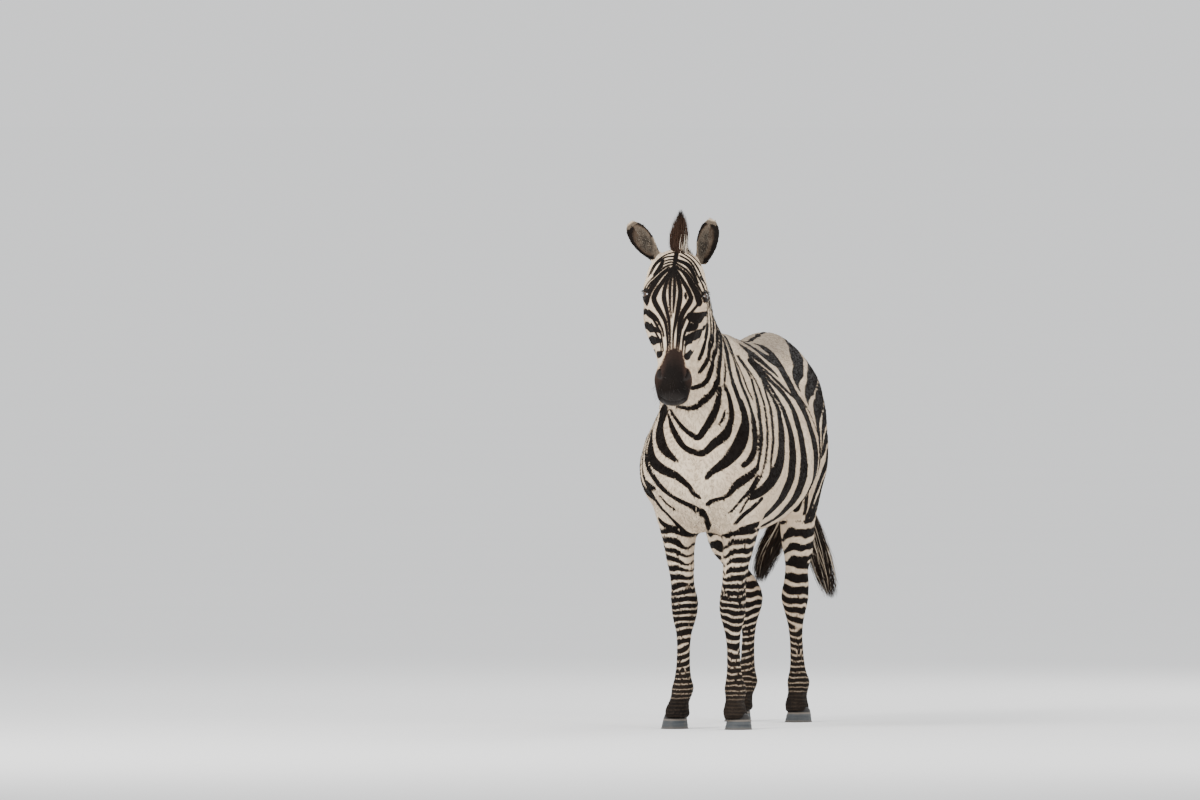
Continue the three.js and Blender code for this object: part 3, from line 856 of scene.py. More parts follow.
HAUNCH_STRIPES = strokes(
    "both", "side",
    ((10, 17, 22, 24), [(172, 1085), (205, 1108), (280, 1128), (370, 1155), (470, 1190), (560, 1225)]),
    ((9, 18, 22, 23, 18), [(205, 1040), (260, 1060), (350, 1085), (450, 1113), (550, 1140), (640, 1160),
        (720, 1160)]),
    ((8, 20, 24, 24, 22, 14), [(345, 712), (300, 790), (262, 870), (262, 940), (310, 995), (400, 1030),
        (510, 1062), (620, 1090), (720, 1105), (790, 1100)]),
    ((8, 18, 24, 25, 22, 14), [(405, 690), (365, 760), (335, 840), (350, 905), (410, 950), (500, 985),
        (600, 1010), (700, 1030), (790, 1035)]),
    ((7, 14, 22, 25, 22, 14), [(440, 680), (420, 745), (425, 815), (470, 870), (550, 910), (640, 940),
        (740, 965), (815, 970)]),
    ((6, 12, 20, 24, 20, 12), [(462, 668), (480, 705), (520, 770), (575, 820), (650, 860), (740, 885),
        (820, 890)]),
    ((5, 10, 17, 20, 16, 10), [(468, 660), (510, 690), (560, 720), (625, 765), (700, 800), (780, 815)]),
    ((6, 12, 15, 12), [(470, 650), (530, 668), (600, 695), (670, 725), (750, 745)]),
)
CHEST_STRIPES = strokes(
    "left", "front",
    ((4, 6, 8, 9, 10, 10, 9), [(-53, 1035), (-30, 1032), (-7, 1030), (16, 1038), (45, 1060), (69, 1086),
        (80, 1115)]),
    ((5, 5, 6, 7, 9, 11, 11, 9, 7), [(-79, 1022), (-62, 995), (-46, 974), (-20, 950), (8, 936), (26, 957),
        (46, 984), (68, 1024), (80, 1062), (86, 1092)]),
    ((6, 9, 9, 7, 8, 9, 12, 13, 9, 8, 7, 5), [(-89, 1004), (-80, 970), (-59, 932), (-34, 903), (0, 888),
        (28, 888), (61, 918), (92, 944), (105, 977), (110, 1012), (108, 1054), (100, 1093)]),
    ((2, 5, 3), [(74, 978), (86, 994), (93, 1020)]),
    ((13, 17, 19, 17, 14, 9, 4), [(-100, 1032), (-121, 998), (-129, 968), (-124, 934), (-108, 901),
        (-83, 877), (-60, 860)]),
    ((17, 18, 18, 19, 18, 14, 10, 6), [(133, 1040), (144, 985), (142, 938), (129, 900), (103, 864), (76, 842),
        (53, 825), (38, 808)]),
    ((9, 13, 14, 14, 12, 9, 6, 5), [(-170, 955), (-161, 905), (-152, 872), (-131, 847), (-98, 828),
        (-65, 815), (-40, 797), (-20, 778), (-8, 757), (10, 744)]),
    ((6, 8, 9, 8, 6, 8, 9), [(-188, 915), (-177, 872), (-160, 833), (-134, 796), (-104, 766), (-75, 745),
        (-42, 727), (-14, 711), (2, 700), (9, 686)]),
    ((7, 11, 13, 12, 8, 5, 6, 6), [(187, 839), (170, 816), (146, 798), (124, 780), (106, 756), (84, 743),
        (50, 733), (34, 722)]),
    ((7, 8, 9, 8, 5), [(12, 704), (16, 690), (15, 668), (12, 650), (8, 640)]),
    ((6, 9, 12, 11, 8, 4), [(-199, 874), (-195, 832), (-178, 791), (-157, 749), (-136, 712), (-115, 687),
        (-95, 657), (-76, 632), (-62, 622)]),
    ((3, 5, 3), [(-124, 748), (-103, 722), (-82, 708)]),
    ((5, 9, 4), [(-174, 792), (-158, 778), (-140, 772)]),
    ((5, 8, 6, 4, 2), [(186, 812), (167, 772), (137, 737), (106, 705), (82, 688)]),
    ((8, 11, 10, 8, 4), [(184, 736), (170, 722), (150, 704), (126, 684), (102, 660)]),
    ((9, 8, 4), [(-160, 668), (-139, 652), (-100, 643)]),
    ((4, 7, 8, 8), [(112, 642), (138, 648), (158, 656), (172, 668)]),
)


CREST_UP = 1235  # strokes of the neck that end above this, in mm, go on over the crest
CREST_REACH = 75


def over_the_crest(path):
    """A stroke of the neck carried on, so that it reaches the mane."""
    (y, z), (back, up) = path[-2:]
    if up <= CREST_UP:
        return path
    reach = CREST_REACH / math.hypot(back - y, up - z)
    return path + [(back + (back - y) * reach, up + (up - z) * reach)]


NECK_STRIPES = [(*stroke, over_the_crest(path)) for *stroke, path in NECK_STRIPES]
# How far back each group lies from where it is drawn, in mm.
BACKWARDS = ((NECK_STRIPES, 14), (FLANK_STRIPES, 17), (HAUNCH_STRIPES, 52), (CHEST_STRIPES, 0))
TRUNK_STRIPES = [
    (*stroke, [(across + shift, up) for across, up in path])
    for group, shift in BACKWARDS for *stroke, path in group
]

BRUSH = {"side": 1.38, "front": 1.15, "face": 1.28, "cheek": 1.2}  # breadth of all strokes
VIEW_START = {"side": 600, "front": 620, "face": 250, "cheek": 250}  # mm from the middle
STROKE_STEP = 4
STROKE_JUMP = 70  # mm between two points that are on different parts of the body
STROKE_REACH = 40  # mm beyond which a stripe's distance no longer counts
BODY_MELT, FACE_MELT = 2.2, 0.6  # mm: strokes closer to each other than about this run together


def laid_from(tree, view, side, path):
    """The points of a stroke's path laid on the skin, with more where it is steep."""
    placed = from_head if view in ("face", "cheek") else from_drawn
    laid = []
    for across, up in path:
        if view in ("side", "cheek"):
            start, way = (side * VIEW_START[view], across, up), (-side, 0, 0)
        else:
            start, way = (side * across, -VIEW_START[view], up), (0, 1, 0)
        start, end = placed(start), placed(np.add(start, way))
        hit = tree.ray_cast(start.tolist(), (end - start).tolist())[0]
        if hit is not None:
            laid.append(hit)
    if len(laid) < 2:
        return None
    laid = np.array(laid)
    rows = []
    for start, end in zip(laid, laid[1:]):
        gap = np.linalg.norm(end - start) / MM
        count = int(gap / STROKE_STEP) + 1 if gap < STROKE_JUMP else 1
        rows.append(start + (end - start) * (np.arange(count) / count)[:, None])
    return np.vstack((*rows, laid[-1:]))


def stroke_distance(points, tree, group, melt):
    """How far each point lies outside the nearest stroke, in mm; less than 0 is inside."""
    far = np.full(len(points), float(STROKE_REACH))
    for where, view, widths, path in group:
        for side in {"both": (-1, 1), "left": (1,), "right": (-1,)}[where]:
            laid = laid_from(tree, view, side, curve_through(path, STROKE_STEP))
            if laid is None:
                continue
            along = np.linspace(0, 1, len(laid))
            half = BRUSH[view] * np.interp(along, np.linspace(0, 1, len(widths)), widths)
            for part in near_line(points, laid, STROKE_REACH * MM):
                gaps = np.linalg.norm(points[part, None] - laid[None], axis=2) / MM - half
                far[part] = -melt * np.logaddexp(-far[part] / melt, -gaps.min(1) / melt)
    return far


# Face: long lines down the nose that close towards the muzzle, and arches over the brows.
FACE_STRIPES = strokes(
    "left", "face",
    ((5, 5, 4), [(0, -30), (-3, -60), (-8, -92)]),
    ((2, 5, 6, 7, 9), [(-14, -96), (-42, -118), (-68, -152), (-88, -182), (-94, -200)]),
    ((2, 5, 7, 7, 5, 3, 2), [(-11, -98), (-40, -145), (-64, -185), (-67, -206), (-46, -250), (-30, -290),
        (-22, -350), (-21, -390)]),
    ((2, 4, 6, 4, 2.5, 1.2), [(-10, -100), (-30, -155), (-37, -200), (-27, -250), (-18, -290), (-14, -350),
        (-13, -388)]),
    ((1.2, 3, 3.5, 2.5, 1), [(-9, -104), (-17, -150), (-18, -200), (-15, -250), (-10, -275)]),
    ((1.2, 3, 4, 3, 1), [(-8, -104), (-4, -155), (-4, -210), (-6, -260)]),
    ((2, 5, 6, 4, 2, 1.2), [(-6, -100), (10, -155), (15, -200), (5, -275), (-3, -330), (-4, -388)]),
    ((2, 5, 7, 6, 3, 1.5), [(-3, -98), (18, -138), (45, -188), (47, -210), (18, -280), (7, -388)]),
    ((2, 6, 7, 7, 9), [(0, -96), (29, -118), (55, -163), (68, -185), (76, -205)]),
    ((2, 3.5, 2), [(31, -189), (32, -197), (33, -207)]),
    ((3, 3, 2, 2, 1), [(70, -215), (50, -247), (27, -285), (19, -330), (14, -388)]),
    ((2, 4, 3, 1.2), [(54, -242), (44, -288), (30, -333), (26, -390)]),
    ((1.5, 1.5), [(36, -270), (24, -310)]),
    ((2, 2, 1.2), [(46, -318), (38, -335), (34, -392)]),
    ((3, 4, 3, 2), [(-84, -228), (-58, -263), (-40, -305), (-34, -333)]),
    ((3, 3, 2, 1.5), [(-69, -260), (-55, -290), (-42, -325), (-34, -385)]),
    ((3, 2.5, 2, 1.5), [(-75, -267), (-59, -308), (-45, -345), (-40, -394)]),
    ((5, 7, 5, 3), [(3, -66), (35, -80), (55, -110), (69, -142)]),
    ((3, 3, 3), [(13, -45), (45, -68), (70, -115), (93, -161)]),
    ((3, 3, 2), [(16, -27), (52, -58), (80, -105), (100, -148)]),
    ((3.5, 3.5), [(20, -13), (50, -33), (75, -61)]),
    ((2, 3, 2), [(1, -90), (30, -115), (60, -152), (82, -187)]),
    ((2.5, 3, 2), [(-1, -79), (35, -105), (66, -147), (85, -175)]),
    ((3, 3.5, 2), [(-11, -28), (-40, -40), (-70, -72), (-87, -109)]),
    ((3, 3, 2), [(-9, -48), (-38, -51), (-65, -76), (-79, -104)]),
    ((3, 7, 4), [(-42, -60), (-52, -90), (-69, -112)]),
    ((2, 2.5, 2), [(-8, -62), (-25, -63), (-40, -68)]),
    ((2, 2.5, 2), [(-8, -74), (-22, -74), (-38, -80)]),
    ((2, 2.5, 2), [(-10, -84), (-24, -86), (-40, -93)]),
    ((2, 3, 2), [(-28, -88), (-60, -112), (-88, -140), (-104, -159)]),
    ((1.5, 3, 2), [(-23, -94), (-50, -117), (-80, -147), (-102, -173)]),
)
CHEEK_STRIPES = strokes(
    "left", "cheek",
    ((12, 15, 7), [(-23, -261), (10, -245), (52, -210)]),
    ((4, 10, 8), [(-21, -308), (-7, -288), (12, -271)]),
    ((5, 14, 12), [(-26, -340), (20, -304), (79, -265)]),
    ((3, 5, 6), [(-23, -363), (-13, -346), (6, -331)]),
    ((8, 11, 3), [(-19, -402), (15, -372), (52, -350)]),
    ((4, 5), [(-17, -115), (-9, -131)]),
) + strokes(
    "right", "cheek",
    ((7, 9, 4), [(56, -202), (20, -228), (-13, -269)]),
    ((8, 14, 8, 3), [(83, -238), (40, -270), (0, -298), (-17, -315)]),
    ((7, 13, 10, 4), [(91, -288), (45, -312), (5, -333), (-17, -346)]),
    ((4, 9, 9), [(41, -363), (18, -377), (-13, -392)]),
) + strokes(
    "both", "cheek",
    ((5, 7, 6), [(45, -175), (75, -150), (95, -110), (100, -60)]),
    ((6, 8, 6), [(60, -205), (100, -180), (125, -135), (130, -75)]),
    ((6, 8, 6), [(82, -245), (125, -215), (150, -160), (158, -100)]),
    ((6, 8, 5), [(95, -290), (140, -255), (170, -200), (182, -150)]),
    ((5, 8, 5), [(60, -345), (100, -325), (140, -290)]),
)

# Rings of the legs: heights in mm, and the distance from one ring to the next there.
RING_HEIGHTS = (60, 90, 130, 200, 290, 340, 450, 520, 720)
RING_SPACING = {
    "fore": (11, 12, 16, 23, 29, 22, 23, 29, 33), "hind": (11, 12, 16, 20, 24, 27, 34, 42, 50),
}
# Where a ring splits and where the two join again: degrees round the leg from its front
# towards the outside, and the height in mm.
FORKS = {
    "front_left": [((60, 250), (-80, 190))],
    "front_right": [((-60, 270), (80, 170))],
    "hind_left": [((60, 520), (-60, 480)), ((120, 360), (10, 300))],
    "hind_right": [((20, 530), (140, 470)), ((-90, 380), (30, 290)), ((70, 240), (-40, 160))],
}
RINGS_TOP = {"fore": 645, "hind": 655}


def ring_distance(skin, name):
    """The distance from the black rings of one leg, in mm, for every vertex of the skin."""
    leg = Leg(skin, name)
    across, back, up, half, deep = leg.places(skin.points).T
    angle = np.arctan2(across, -back)
    radius = np.clip((half + deep) / 2, 15, 60)
    kind = "fore" if leg.fore else "hind"
    tilt = 3 * np.clip(across / half, -1, 1) - 8 * np.clip(back / deep, -1, 1)
    tilt += 4 * ripple(skin.points / MM, 120, 31 + len(name))
    tilt += 26 * ease(across / half, 0.1, -0.9) * ease(up, 430, 560)
    height = up + tilt * ease(up, 100, 300)
    levels = np.arange(0, 900, 5.0)
    turns = np.cumsum(5 / np.interp(levels, RING_HEIGHTS, RING_SPACING[kind]))
    phase = np.interp(height, levels, turns) + 0.08 * ripple(skin.points / MM, 45, 41 + len(name))
    for pair in FORKS[name]:
        for sign, (turn, level) in zip((1, -1), pair):
            away = (angle - math.radians(turn)) + 1j * (up - level) / radius
            phase += sign * np.angle(1 - np.exp(1j * away)) / (2 * math.pi)
    inner = ease(across / half, -0.2, -0.75) * ease(up, 420, 520)
    bias = -0.22 - 0.15 * ease(up, 260, 120) + 0.12 * ease(up, 470, 560) + 0.85 * inner
    spacing = np.interp(up, RING_HEIGHTS, RING_SPACING[kind])
    far = (bias - np.cos(2 * math.pi * phase)) * spacing / (2 * math.pi)
    top = RINGS_TOP[kind]
    far = far + STROKE_REACH * ease(up, top - 8, top + 16)
    return np.where(leg.mask, far, STROKE_REACH)


MUZZLE_EDGE = ((0, 24, 38, 60), (-378, -386, -434, -462))  # across, and its height there


def head_marks(skin, marks):
    """Muzzle, eye surrounds and bare skin of the head."""
    across, back, up = skin.head.T
    on_head = skin.on("head")
    edge = np.interp(abs(across), *MUZZLE_EDGE) - 22 * ease(back, 15, 60)
    edge = edge + 3 * ripple(skin.head, 26, 51) + 3.5 * ripple(skin.head, 8, 52)
    muzzle = on_head * ease(up, edge + 4, edge - 8)
    warm = on_head * ease(up, edge + 22, edge + 2) * ease(up, edge - 85, edge - 8)
    warm = warm * (0.55 + 0.45 * ease(abs(across), 8, 38))
    lids = np.zeros(len(up))
    for side in (-1, 1):
        away = skin.head - eye_middle(side)
        axis, slit, above = eye_axes(side)
        far = np.hypot(away @ slit / 25, away @ above / 20) + 0.1 * ripple(skin.head, 12, 53)
        lids += ease(far, 1.15, 0.92) * (away @ axis > 0) * (abs(away @ axis) < 50)
    marks["black"] = np.maximum(muzzle, np.clip(lids, 0, 1))
    marks["warm"] = np.maximum(marks["warm"], warm)
    nostril = np.zeros(len(up))
    for side in (-1, 1):
        nostril = np.maximum(nostril, ease(distance_to(skin.head, nostril_line(side), 30), 12, 7))
        rim = np.linalg.norm(skin.head - eye_middle(side), axis=1)
        nostril = np.maximum(nostril, ease(rim, 24, 20) * on_head)
    lips = ease(up, -520, -540) * on_head
    marks["bare"] = np.clip(nostril + lips, 0, 1)


EAR_HOLLOW = 40 * MM  # from the leaf of an ear to the middle of the cup that it bends round


def ear_places(skin, name):
    """An ear's vertices, their height share, 1 on the inner side, and where the rims are."""
    mask = skin.on(name)
    side = 1 if name == "ear_left" else -1
    middle = skin.points[mask].mean(0)
    axis = unit(np.linalg.svd(skin.points[mask] - middle, full_matrices=False)[2][0])
    axis = axis if axis[2] > 0 else -axis
    opening = np.array((0.1 * side, -1, 0)) @ HEAD_AXES.T
    opening = unit(opening - axis * (opening @ axis))
    along = (skin.points - middle) @ axis
    share = (along - along[mask].min()) / np.ptp(along[mask])
    spoke = skin.points - middle - EAR_HOLLOW * opening - along[:, None] * axis
    inner = ((spoke * skin.normals).sum(1) < 0) & mask
    outwards = spoke @ np.cross(axis, opening) * side
    return mask, share, inner, outwards / MM, axis, opening


def ear_marks(skin, marks):
    """Outside white with a black band and tip, inside grey with dark patches that painted shade deepens
    towards the middle of the hollow, black rims.
    """
    for name in EARS:
        mask, share, inner, outwards, _, _ = ear_places(skin, name)
        far = (abs(share - 0.66) - 0.17) * 160 + 3 * ripple(skin.points / MM, 20, 61)
        far = np.minimum(far, (abs(share - 0.2) - 0.07) * 160)
        depth = skin.blurred(inner.astype(float), 24)
        far = np.where(inner, STROKE_REACH, far)
        breadth = np.where(outwards > 0, 0.39, 0.26)
        rim = (abs(depth - 0.42) - breadth) * 24
        low = np.where(outwards > 0, 0.06, 0.45)
        rim = np.where((share > low) & (share < 0.9), rim, STROKE_REACH)
        far = np.where(share > 0.94, STROKE_REACH, np.minimum(far, rim))
        marks["stripe"] = np.where(mask, far, marks["stripe"])
        patch = 0.75 + 0.35 * ripple(skin.points / MM, 22, 62)
        # The dark patches inside are partly the ear's own colour and partly painted shade: they grow darker
        # the deeper they lie in the hollow, far from the rims.
        dark = ease(depth, 0.72, 0.95) * patch * ease(share, 0.95, 0.8)
        cup = inner * (0.5 + 0.5 * np.clip(dark, 0, 1)) * ease(share, 1.0, 0.95)
        marks["ear"] = np.where(mask, cup, marks["ear"])


def tail_marks(skin, marks):
    """Short bars down the dock on both sides of a dark middle line."""
    mask = skin.on("tail_dock")
    bars = 15 * (0.15 - np.cos(skin.points[:, 2] / MM * 2 * math.pi / 34)) / 2
    line = abs(skin.points[:, 0] / MM - np.interp(skin.points[:, 2], (0.8, 1.1), (28, 1))) - 6
    line = np.where(skin.normals[:, 1] > 0.2, line, STROKE_REACH)
    far = np.minimum(bars, line)
    marks["stripe"] = np.where(mask, np.minimum(marks["stripe"], far), marks["stripe"])
    marks["warm"] = np.where(mask, 0.25, marks["warm"])


def spine_marks(skin, marks):
    """The dark line down the back and the one under the belly."""
    x, y, z = as_drawn(skin.points).T
    wave = 3 * ripple(skin.points / MM, 60, 71)
    back = abs(x + wave) - np.interp(y, (-170, -100, 500, 660), (0, 9, 8, 5))
    back = np.where((skin.normals[:, 2] > 0.45) & (y > -170) & (z > 1050), back, STROKE_REACH)
    belly = abs(x + wave) - np.interp(y, (-260, -150, 250, 330), (0, 9, 9, 0))
    belly = np.where((skin.normals[:, 2] < -0.5) & (y > -260) & (y < 330) & (z < 720) & (z > 560)
                     & skin.on("trunk"), belly, STROKE_REACH)
    marks["stripe"] = np.minimum(marks["stripe"], np.minimum(back, belly))
    marks["grey"] = ease(y, -150, -60) * ease(skin.normals[:, 2], 0.35, 0.85) * ease(z, 1120, 1220)


def skin_marks(skin):
    """Everything that the colours of the coat read, as a number for each vertex."""
    marks = {name: np.zeros(len(skin.points)) for name in MARKS}
    body = stroke_distance(skin.points, skin.tree, TRUNK_STRIPES, BODY_MELT)
    body = np.where(skin.on("head", "ear", "lower_leg"), STROKE_REACH, body)
    face = stroke_distance(skin.points, skin.tree, FACE_STRIPES + CHEEK_STRIPES, FACE_MELT)
    face = np.where(skin.on("head"), face, STROKE_REACH)
    marks["stripe"] = np.minimum(body, face)
    for name in LEGS:
        marks["stripe"] = np.minimum(marks["stripe"], ring_distance(skin, name))
    _, y, z = as_drawn(skin.points).T
    haunch = ease(y, 180, 380) * ease(z, 560, 680) * ease(z, 1230, 1150)
    marks["warm"] = 0.4 * haunch * ease(marks["stripe"], 9, 14)
    head_marks(skin, marks)
    ear_marks(skin, marks)
    tail_marks(skin, marks)
    spine_marks(skin, marks)
    pastern = ease(z, 104, 92) * skin.on("lower_leg")
    marks["black"] = np.maximum(marks["black"], pastern * 0.9)
    marks["leg"] = skin.blurred(skin.on("upper_leg", "lower_leg").astype(float), 20)
    marks["face"] = skin.blurred(skin.on("head", "ear").astype(float), 12)
    return marks


COAT_MARKS = ("stripe", "black", "warm", "ear", "grey")
MARKS = (*COAT_MARKS, "bare", "leg", "face")


# ---- The skin as later pieces read it ----

# Which way the hair lies on each part: [across, back, up]; that of the head is in its frame.
LIE = {
    "trunk": (0, 0.86, -0.5), "neck": (0, 0.75, -0.66), "upper_leg": (0, 0.2, -1),
    "lower_leg": (0, 0.12, -1), "tail_dock": (0, 0.1, -1),
}
HEAD_LIE = (0, 0.18, -1)
EAR_LIE = (0, 0, 1)


class Skin:
    """The finished skin: its mesh, the part under each vertex, the marks and the hair's lie."""

    def __init__(self, mesh):
        self.points, self.triangles = points_of(mesh), triangles_of(mesh)
        self.normals = normals_of(self.points, self.triangles)
        self.tree = tree_of(self.points, self.triangles)
        self.nodes = FLESH
        self.label = nearest_nodes(self.points, FLESH)
        self.head = in_head(self.points)
        self.marks = skin_marks(self)
        self.lie = self.hair_lie()

    on = Clay.on

    def blurred(self, values, size):
        """A number or vector of each vertex, blurred over about `size` vertex distances."""
        values = values.reshape(len(self.points), -1)
        blurred = relax(values, self.triangles, np.full(len(values), size / 2.0), 20)
        return blurred[:, 0] if blurred.shape[1] == 1 else blurred

    def hair_lie(self):
        ways = np.zeros_like(self.points)
        for kind, way in LIE.items():
            ways[self.on(kind)] = way
        ways[self.on("head")] = np.array(HEAD_LIE) @ HEAD_AXES.T
        ways = self.blurred(ways, 60)
        ways[self.on("ear")] = np.array(EAR_LIE) @ HEAD_AXES.T
        ways -= self.normals * (ways * self.normals).sum(1)[:, None]
        return unit(ways)

    def scatter(self, density, seed):
        """Random places: `density` of them per square metre, given at each vertex."""
        area = np.linalg.norm(facing(self.points[self.triangles]), axis=1) / 2
        rng = np.random.default_rng(seed)
        faces = np.repeat(np.arange(len(area)), rng.poisson(area * density[self.triangles].mean(1)))
        shares = rng.random((len(faces), 2))
        over = shares.sum(1) > 1
        shares[over] = 1 - shares[over]
        return faces, np.column_stack((1 - shares.sum(1), shares))

    def slope(self, mark, place):
        """How a mark rises over the skin, per metre, at places that scatter made."""
        corners = self.points[self.triangles[place[0]]]
        values = self.marks[mark][self.triangles[place[0]]]
        normal = facing(corners)
        size = np.maximum((normal ** 2).sum(1), 1e-18)[:, None]
        sides = corners[:, (2, 0, 1)] - corners[:, (1, 2, 0)]
        return sum(values[:, i, None] * np.cross(normal, sides[:, i]) for i in range(3)) / size

    def at(self, values, place):
        """A number or vector of the vertices, at places that scatter made."""
        faces, shares = place
        corners = values[self.triangles[faces]]
        return (corners * (shares if values.ndim == 1 else shares[..., None])).sum(1)


@functools.cache
def finished_skin():
    return Skin(bpy.data.objects["skin"].data)


# ---- Materials ----

class Value:
    """A number inside a material: Python's operators on it add the Math nodes."""

    def __init__(self, nodes, socket):
        self.nodes, self.socket = nodes, socket

    def maths(self, operation, *others, clamp=False):
        node = self.nodes.add("ShaderNodeMath", {"operation": operation, "use_clamp": clamp},
                              dict(enumerate((self, *others))))
        return Value(self.nodes, node.outputs[0])

    def __add__(self, other):
        return self.maths("ADD", other)

    def __sub__(self, other):
        return self.maths("SUBTRACT", other)

    def __rsub__(self, other):
        return self.nodes.number(other).maths("SUBTRACT", self)

    def __mul__(self, other):
        return self.maths("MULTIPLY", other)

    __radd__ = __add__
    __rmul__ = __mul__

    def clamped(self):
        return self.maths("ADD", 0.0, clamp=True)

    def either(self, other):
        return self.maths("MAXIMUM", other)

    def rise(self, start, end):
        """0 before start and 1 after end, in a straight line; start may be the larger one."""
        return ((self - start) * (1 / (end - start))).clamped()


class Nodes:
    """The node tree of one material."""

    def __init__(self, name):
        self.material = bpy.data.materials.new(name)
        self.material.use_nodes = True
        self.tree = self.material.node_tree
        self.tree.nodes.clear()
        self.place = self.add("ShaderNodeTexCoord").outputs["Object"]

    def add(self, kind, settings=None, inputs=None):
        """A node: its settings are set first, then the values or links of its sockets."""
        node = self.tree.nodes.new(kind)
        for name, value in (settings or {}).items():
            setattr(node, name, value)
        for name, value in (inputs or {}).items():
            socket = node.inputs[name]
            value = value.socket if isinstance(value, Value) else value
            if isinstance(value, bpy.types.NodeSocket):
                self.tree.links.new(value, socket)
            elif value is not None:
                socket.default_value = value
        return node

    def number(self, value):
        node = self.add("ShaderNodeValue")
        node.outputs[0].default_value = value
        return Value(self, node.outputs[0])

    def attribute(self, name):
        return Value(self, self.add("ShaderNodeAttribute", {"attribute_name": name}).outputs["Fac"])

    def height(self):
        return Value(self, self.add("ShaderNodeSeparateXYZ", None, {0: self.place}).outputs[2])

    def noise(self, scale, detail=2.0, turn=(0, 0, 0), stretch=(1, 1, 1)):
        """Noise of about 0 to 1 whose grain can be turned, in radians, and stretched."""
        place = self.add("ShaderNodeMapping", None,
                         {"Vector": self.place, "Rotation": turn, "Scale": stretch})
        made = self.add("ShaderNodeTexNoise", {"noise_dimensions": "3D"},
                        {"Vector": place.outputs[0], "Scale": scale, "Detail": detail})
        return Value(self, made.outputs["Fac"])

    def blend(self, share, *colours):
        """From one colour to another by a number from 0 to 1."""
        first, second = (colour if isinstance(colour, bpy.types.NodeSocket) else (*colour, 1)
                         for colour in colours)
        node = self.add("ShaderNodeMix", {"data_type": "RGBA"}, {0: share, 6: first, 7: second})
        return node.outputs[2]

    def finish(self, colour, roughness, height=None, depth=0.001, specular=0.5, **others):
        """The material; others are more of the shader's inputs, with _ for a space."""
        normal = height and self.add("ShaderNodeBump", None, {
            "Strength": 1.0, "Distance": depth, "Height": height}).outputs[0]
        shader = self.add("ShaderNodeBsdfPrincipled", None, {
            "Base Color": colour, "Roughness": roughness, "Specular IOR Level": specular,
            "Normal": normal, **{name.replace("_", " "): value for name, value in others.items()}})
        self.add("ShaderNodeOutputMaterial", None, {0: shader.outputs[0]})
        return self.material


SKY = (0.86, 0.87, 0.88)  # colour of the pale surround


def fur_colour(nodes, settings):
    """The coat's colour from its marks: white and black stripes, tinted, with hairy edges."""
    stripe, black, shade, warm, ear = (
        nodes.attribute(name) for name in ("stripe", "black", "shade", "warm", "ear"))
    fine = nodes.noise(520, 3)
    broad = nodes.noise(7, 3)
    edge = stripe + (fine - 0.5) * (1.8 - nodes.attribute("face").clamped() * 1.2)
    dark = edge.rise(1.6, -0.6).either(black)
    soft = edge.rise(3.0, 0.0).either(black)
    white = nodes.blend(broad.rise(0.3, 0.75), settings.white, settings.cream)
    white = nodes.blend((warm * 0.75).clamped(), white, settings.brown)
    white = nodes.blend(ear.rise(0.0, 0.5) * 0.95, white, (0.062, 0.046, 0.034))
    # Inside the ear: grey-brown skin, and near black where the ear mark's painted shade deepens the middle of
    # the hollow.
    white = nodes.blend(ear.rise(0.55, 0.9) * 0.9, white, (0.010, 0.008, 0.007))
    height = nodes.height()
    dust = height.rise(0.34, 0.02) * broad.rise(0.25, 0.8) * 0.5
    white = nodes.blend(dust, white, (0.46, 0.36, 0.25))
    white = nodes.blend(nodes.attribute("grey") * 0.72, white, (0.13, 0.105, 0.085))
    white = nodes.blend(fine.rise(0.62, 0.3) * 0.22, white, (0.36, 0.30, 0.23))
    white = nodes.blend((shade * 0.30).clamped(), white, (0.40, 0.33, 0.25))
    night = nodes.blend(broad.rise(0.4, 0.8) * 0.4, settings.black, (0.018, 0.012, 0.0085))
    night = nodes.blend(fine.rise(0.5, 0.85) * 0.2, night, (0.04, 0.03, 0.023))
    night = nodes.blend(dust * 0.3, night, (0.12, 0.09, 0.065))
    night = nodes.blend((warm * 0.8).clamped(), night, (0.042, 0.025, 0.019))
    rim = nodes.blend(0.45, night, (0.15, 0.095, 0.06))
    colour = nodes.blend(soft, white, rim)
    return nodes.blend(dark, colour, night), dark


# The grain of the short hair: turned and stretched along the lie of each region.
GRAIN = {
    "body": ((math.radians(30), 0, 0), (1, 0.13, 1)),
    "leg": ((0, 0, 0), (1, 1, 0.13)),
    "face": ((-FACE_SLOPE, 0, -HEAD_TURN), (1, 1, 0.16)),
}


def skin_material(settings):
    nodes = Nodes("zebra skin")
    colour, _ = fur_colour(nodes, settings)
    leg, face = nodes.attribute("leg"), nodes.attribute("face")
    body = 1.0 - (leg + face).clamped()
    grain = {name: nodes.noise(430, 2, turn, stretch) for name, (turn, stretch) in GRAIN.items()}
    bare = nodes.attribute("bare").clamped()
    hair = grain["body"] * body + grain["leg"] * leg + grain["face"] * face * 0.8
    pores = nodes.noise(900, 2)
    height = hair * (1.0 - bare) + pores * bare * 0.35 + nodes.noise(60, 2) * 0.5
    colour = nodes.blend(bare * 0.9, colour, (0.02, 0.0165, 0.015))
    roughness = 0.62 + hair * 0.15 - bare * 0.28
    return nodes.finish(colour, roughness, height, 0.0016, 0.04,
                        Coat_Weight=bare * 0.07, Coat_Roughness=0.45)


def coat_material(settings):
    nodes = Nodes("zebra coat")
    colour, dark = fur_colour(nodes, settings)
    tip = nodes.attribute("tip")
    light = nodes.blend(dark, (0.84, 0.76, 0.64), (0.03, 0.022, 0.016))
    colour = nodes.blend(tip * 0.15, colour, light)
    return nodes.finish(colour, 0.8, nodes.noise(1500, 1), 0.0003, 0.03)


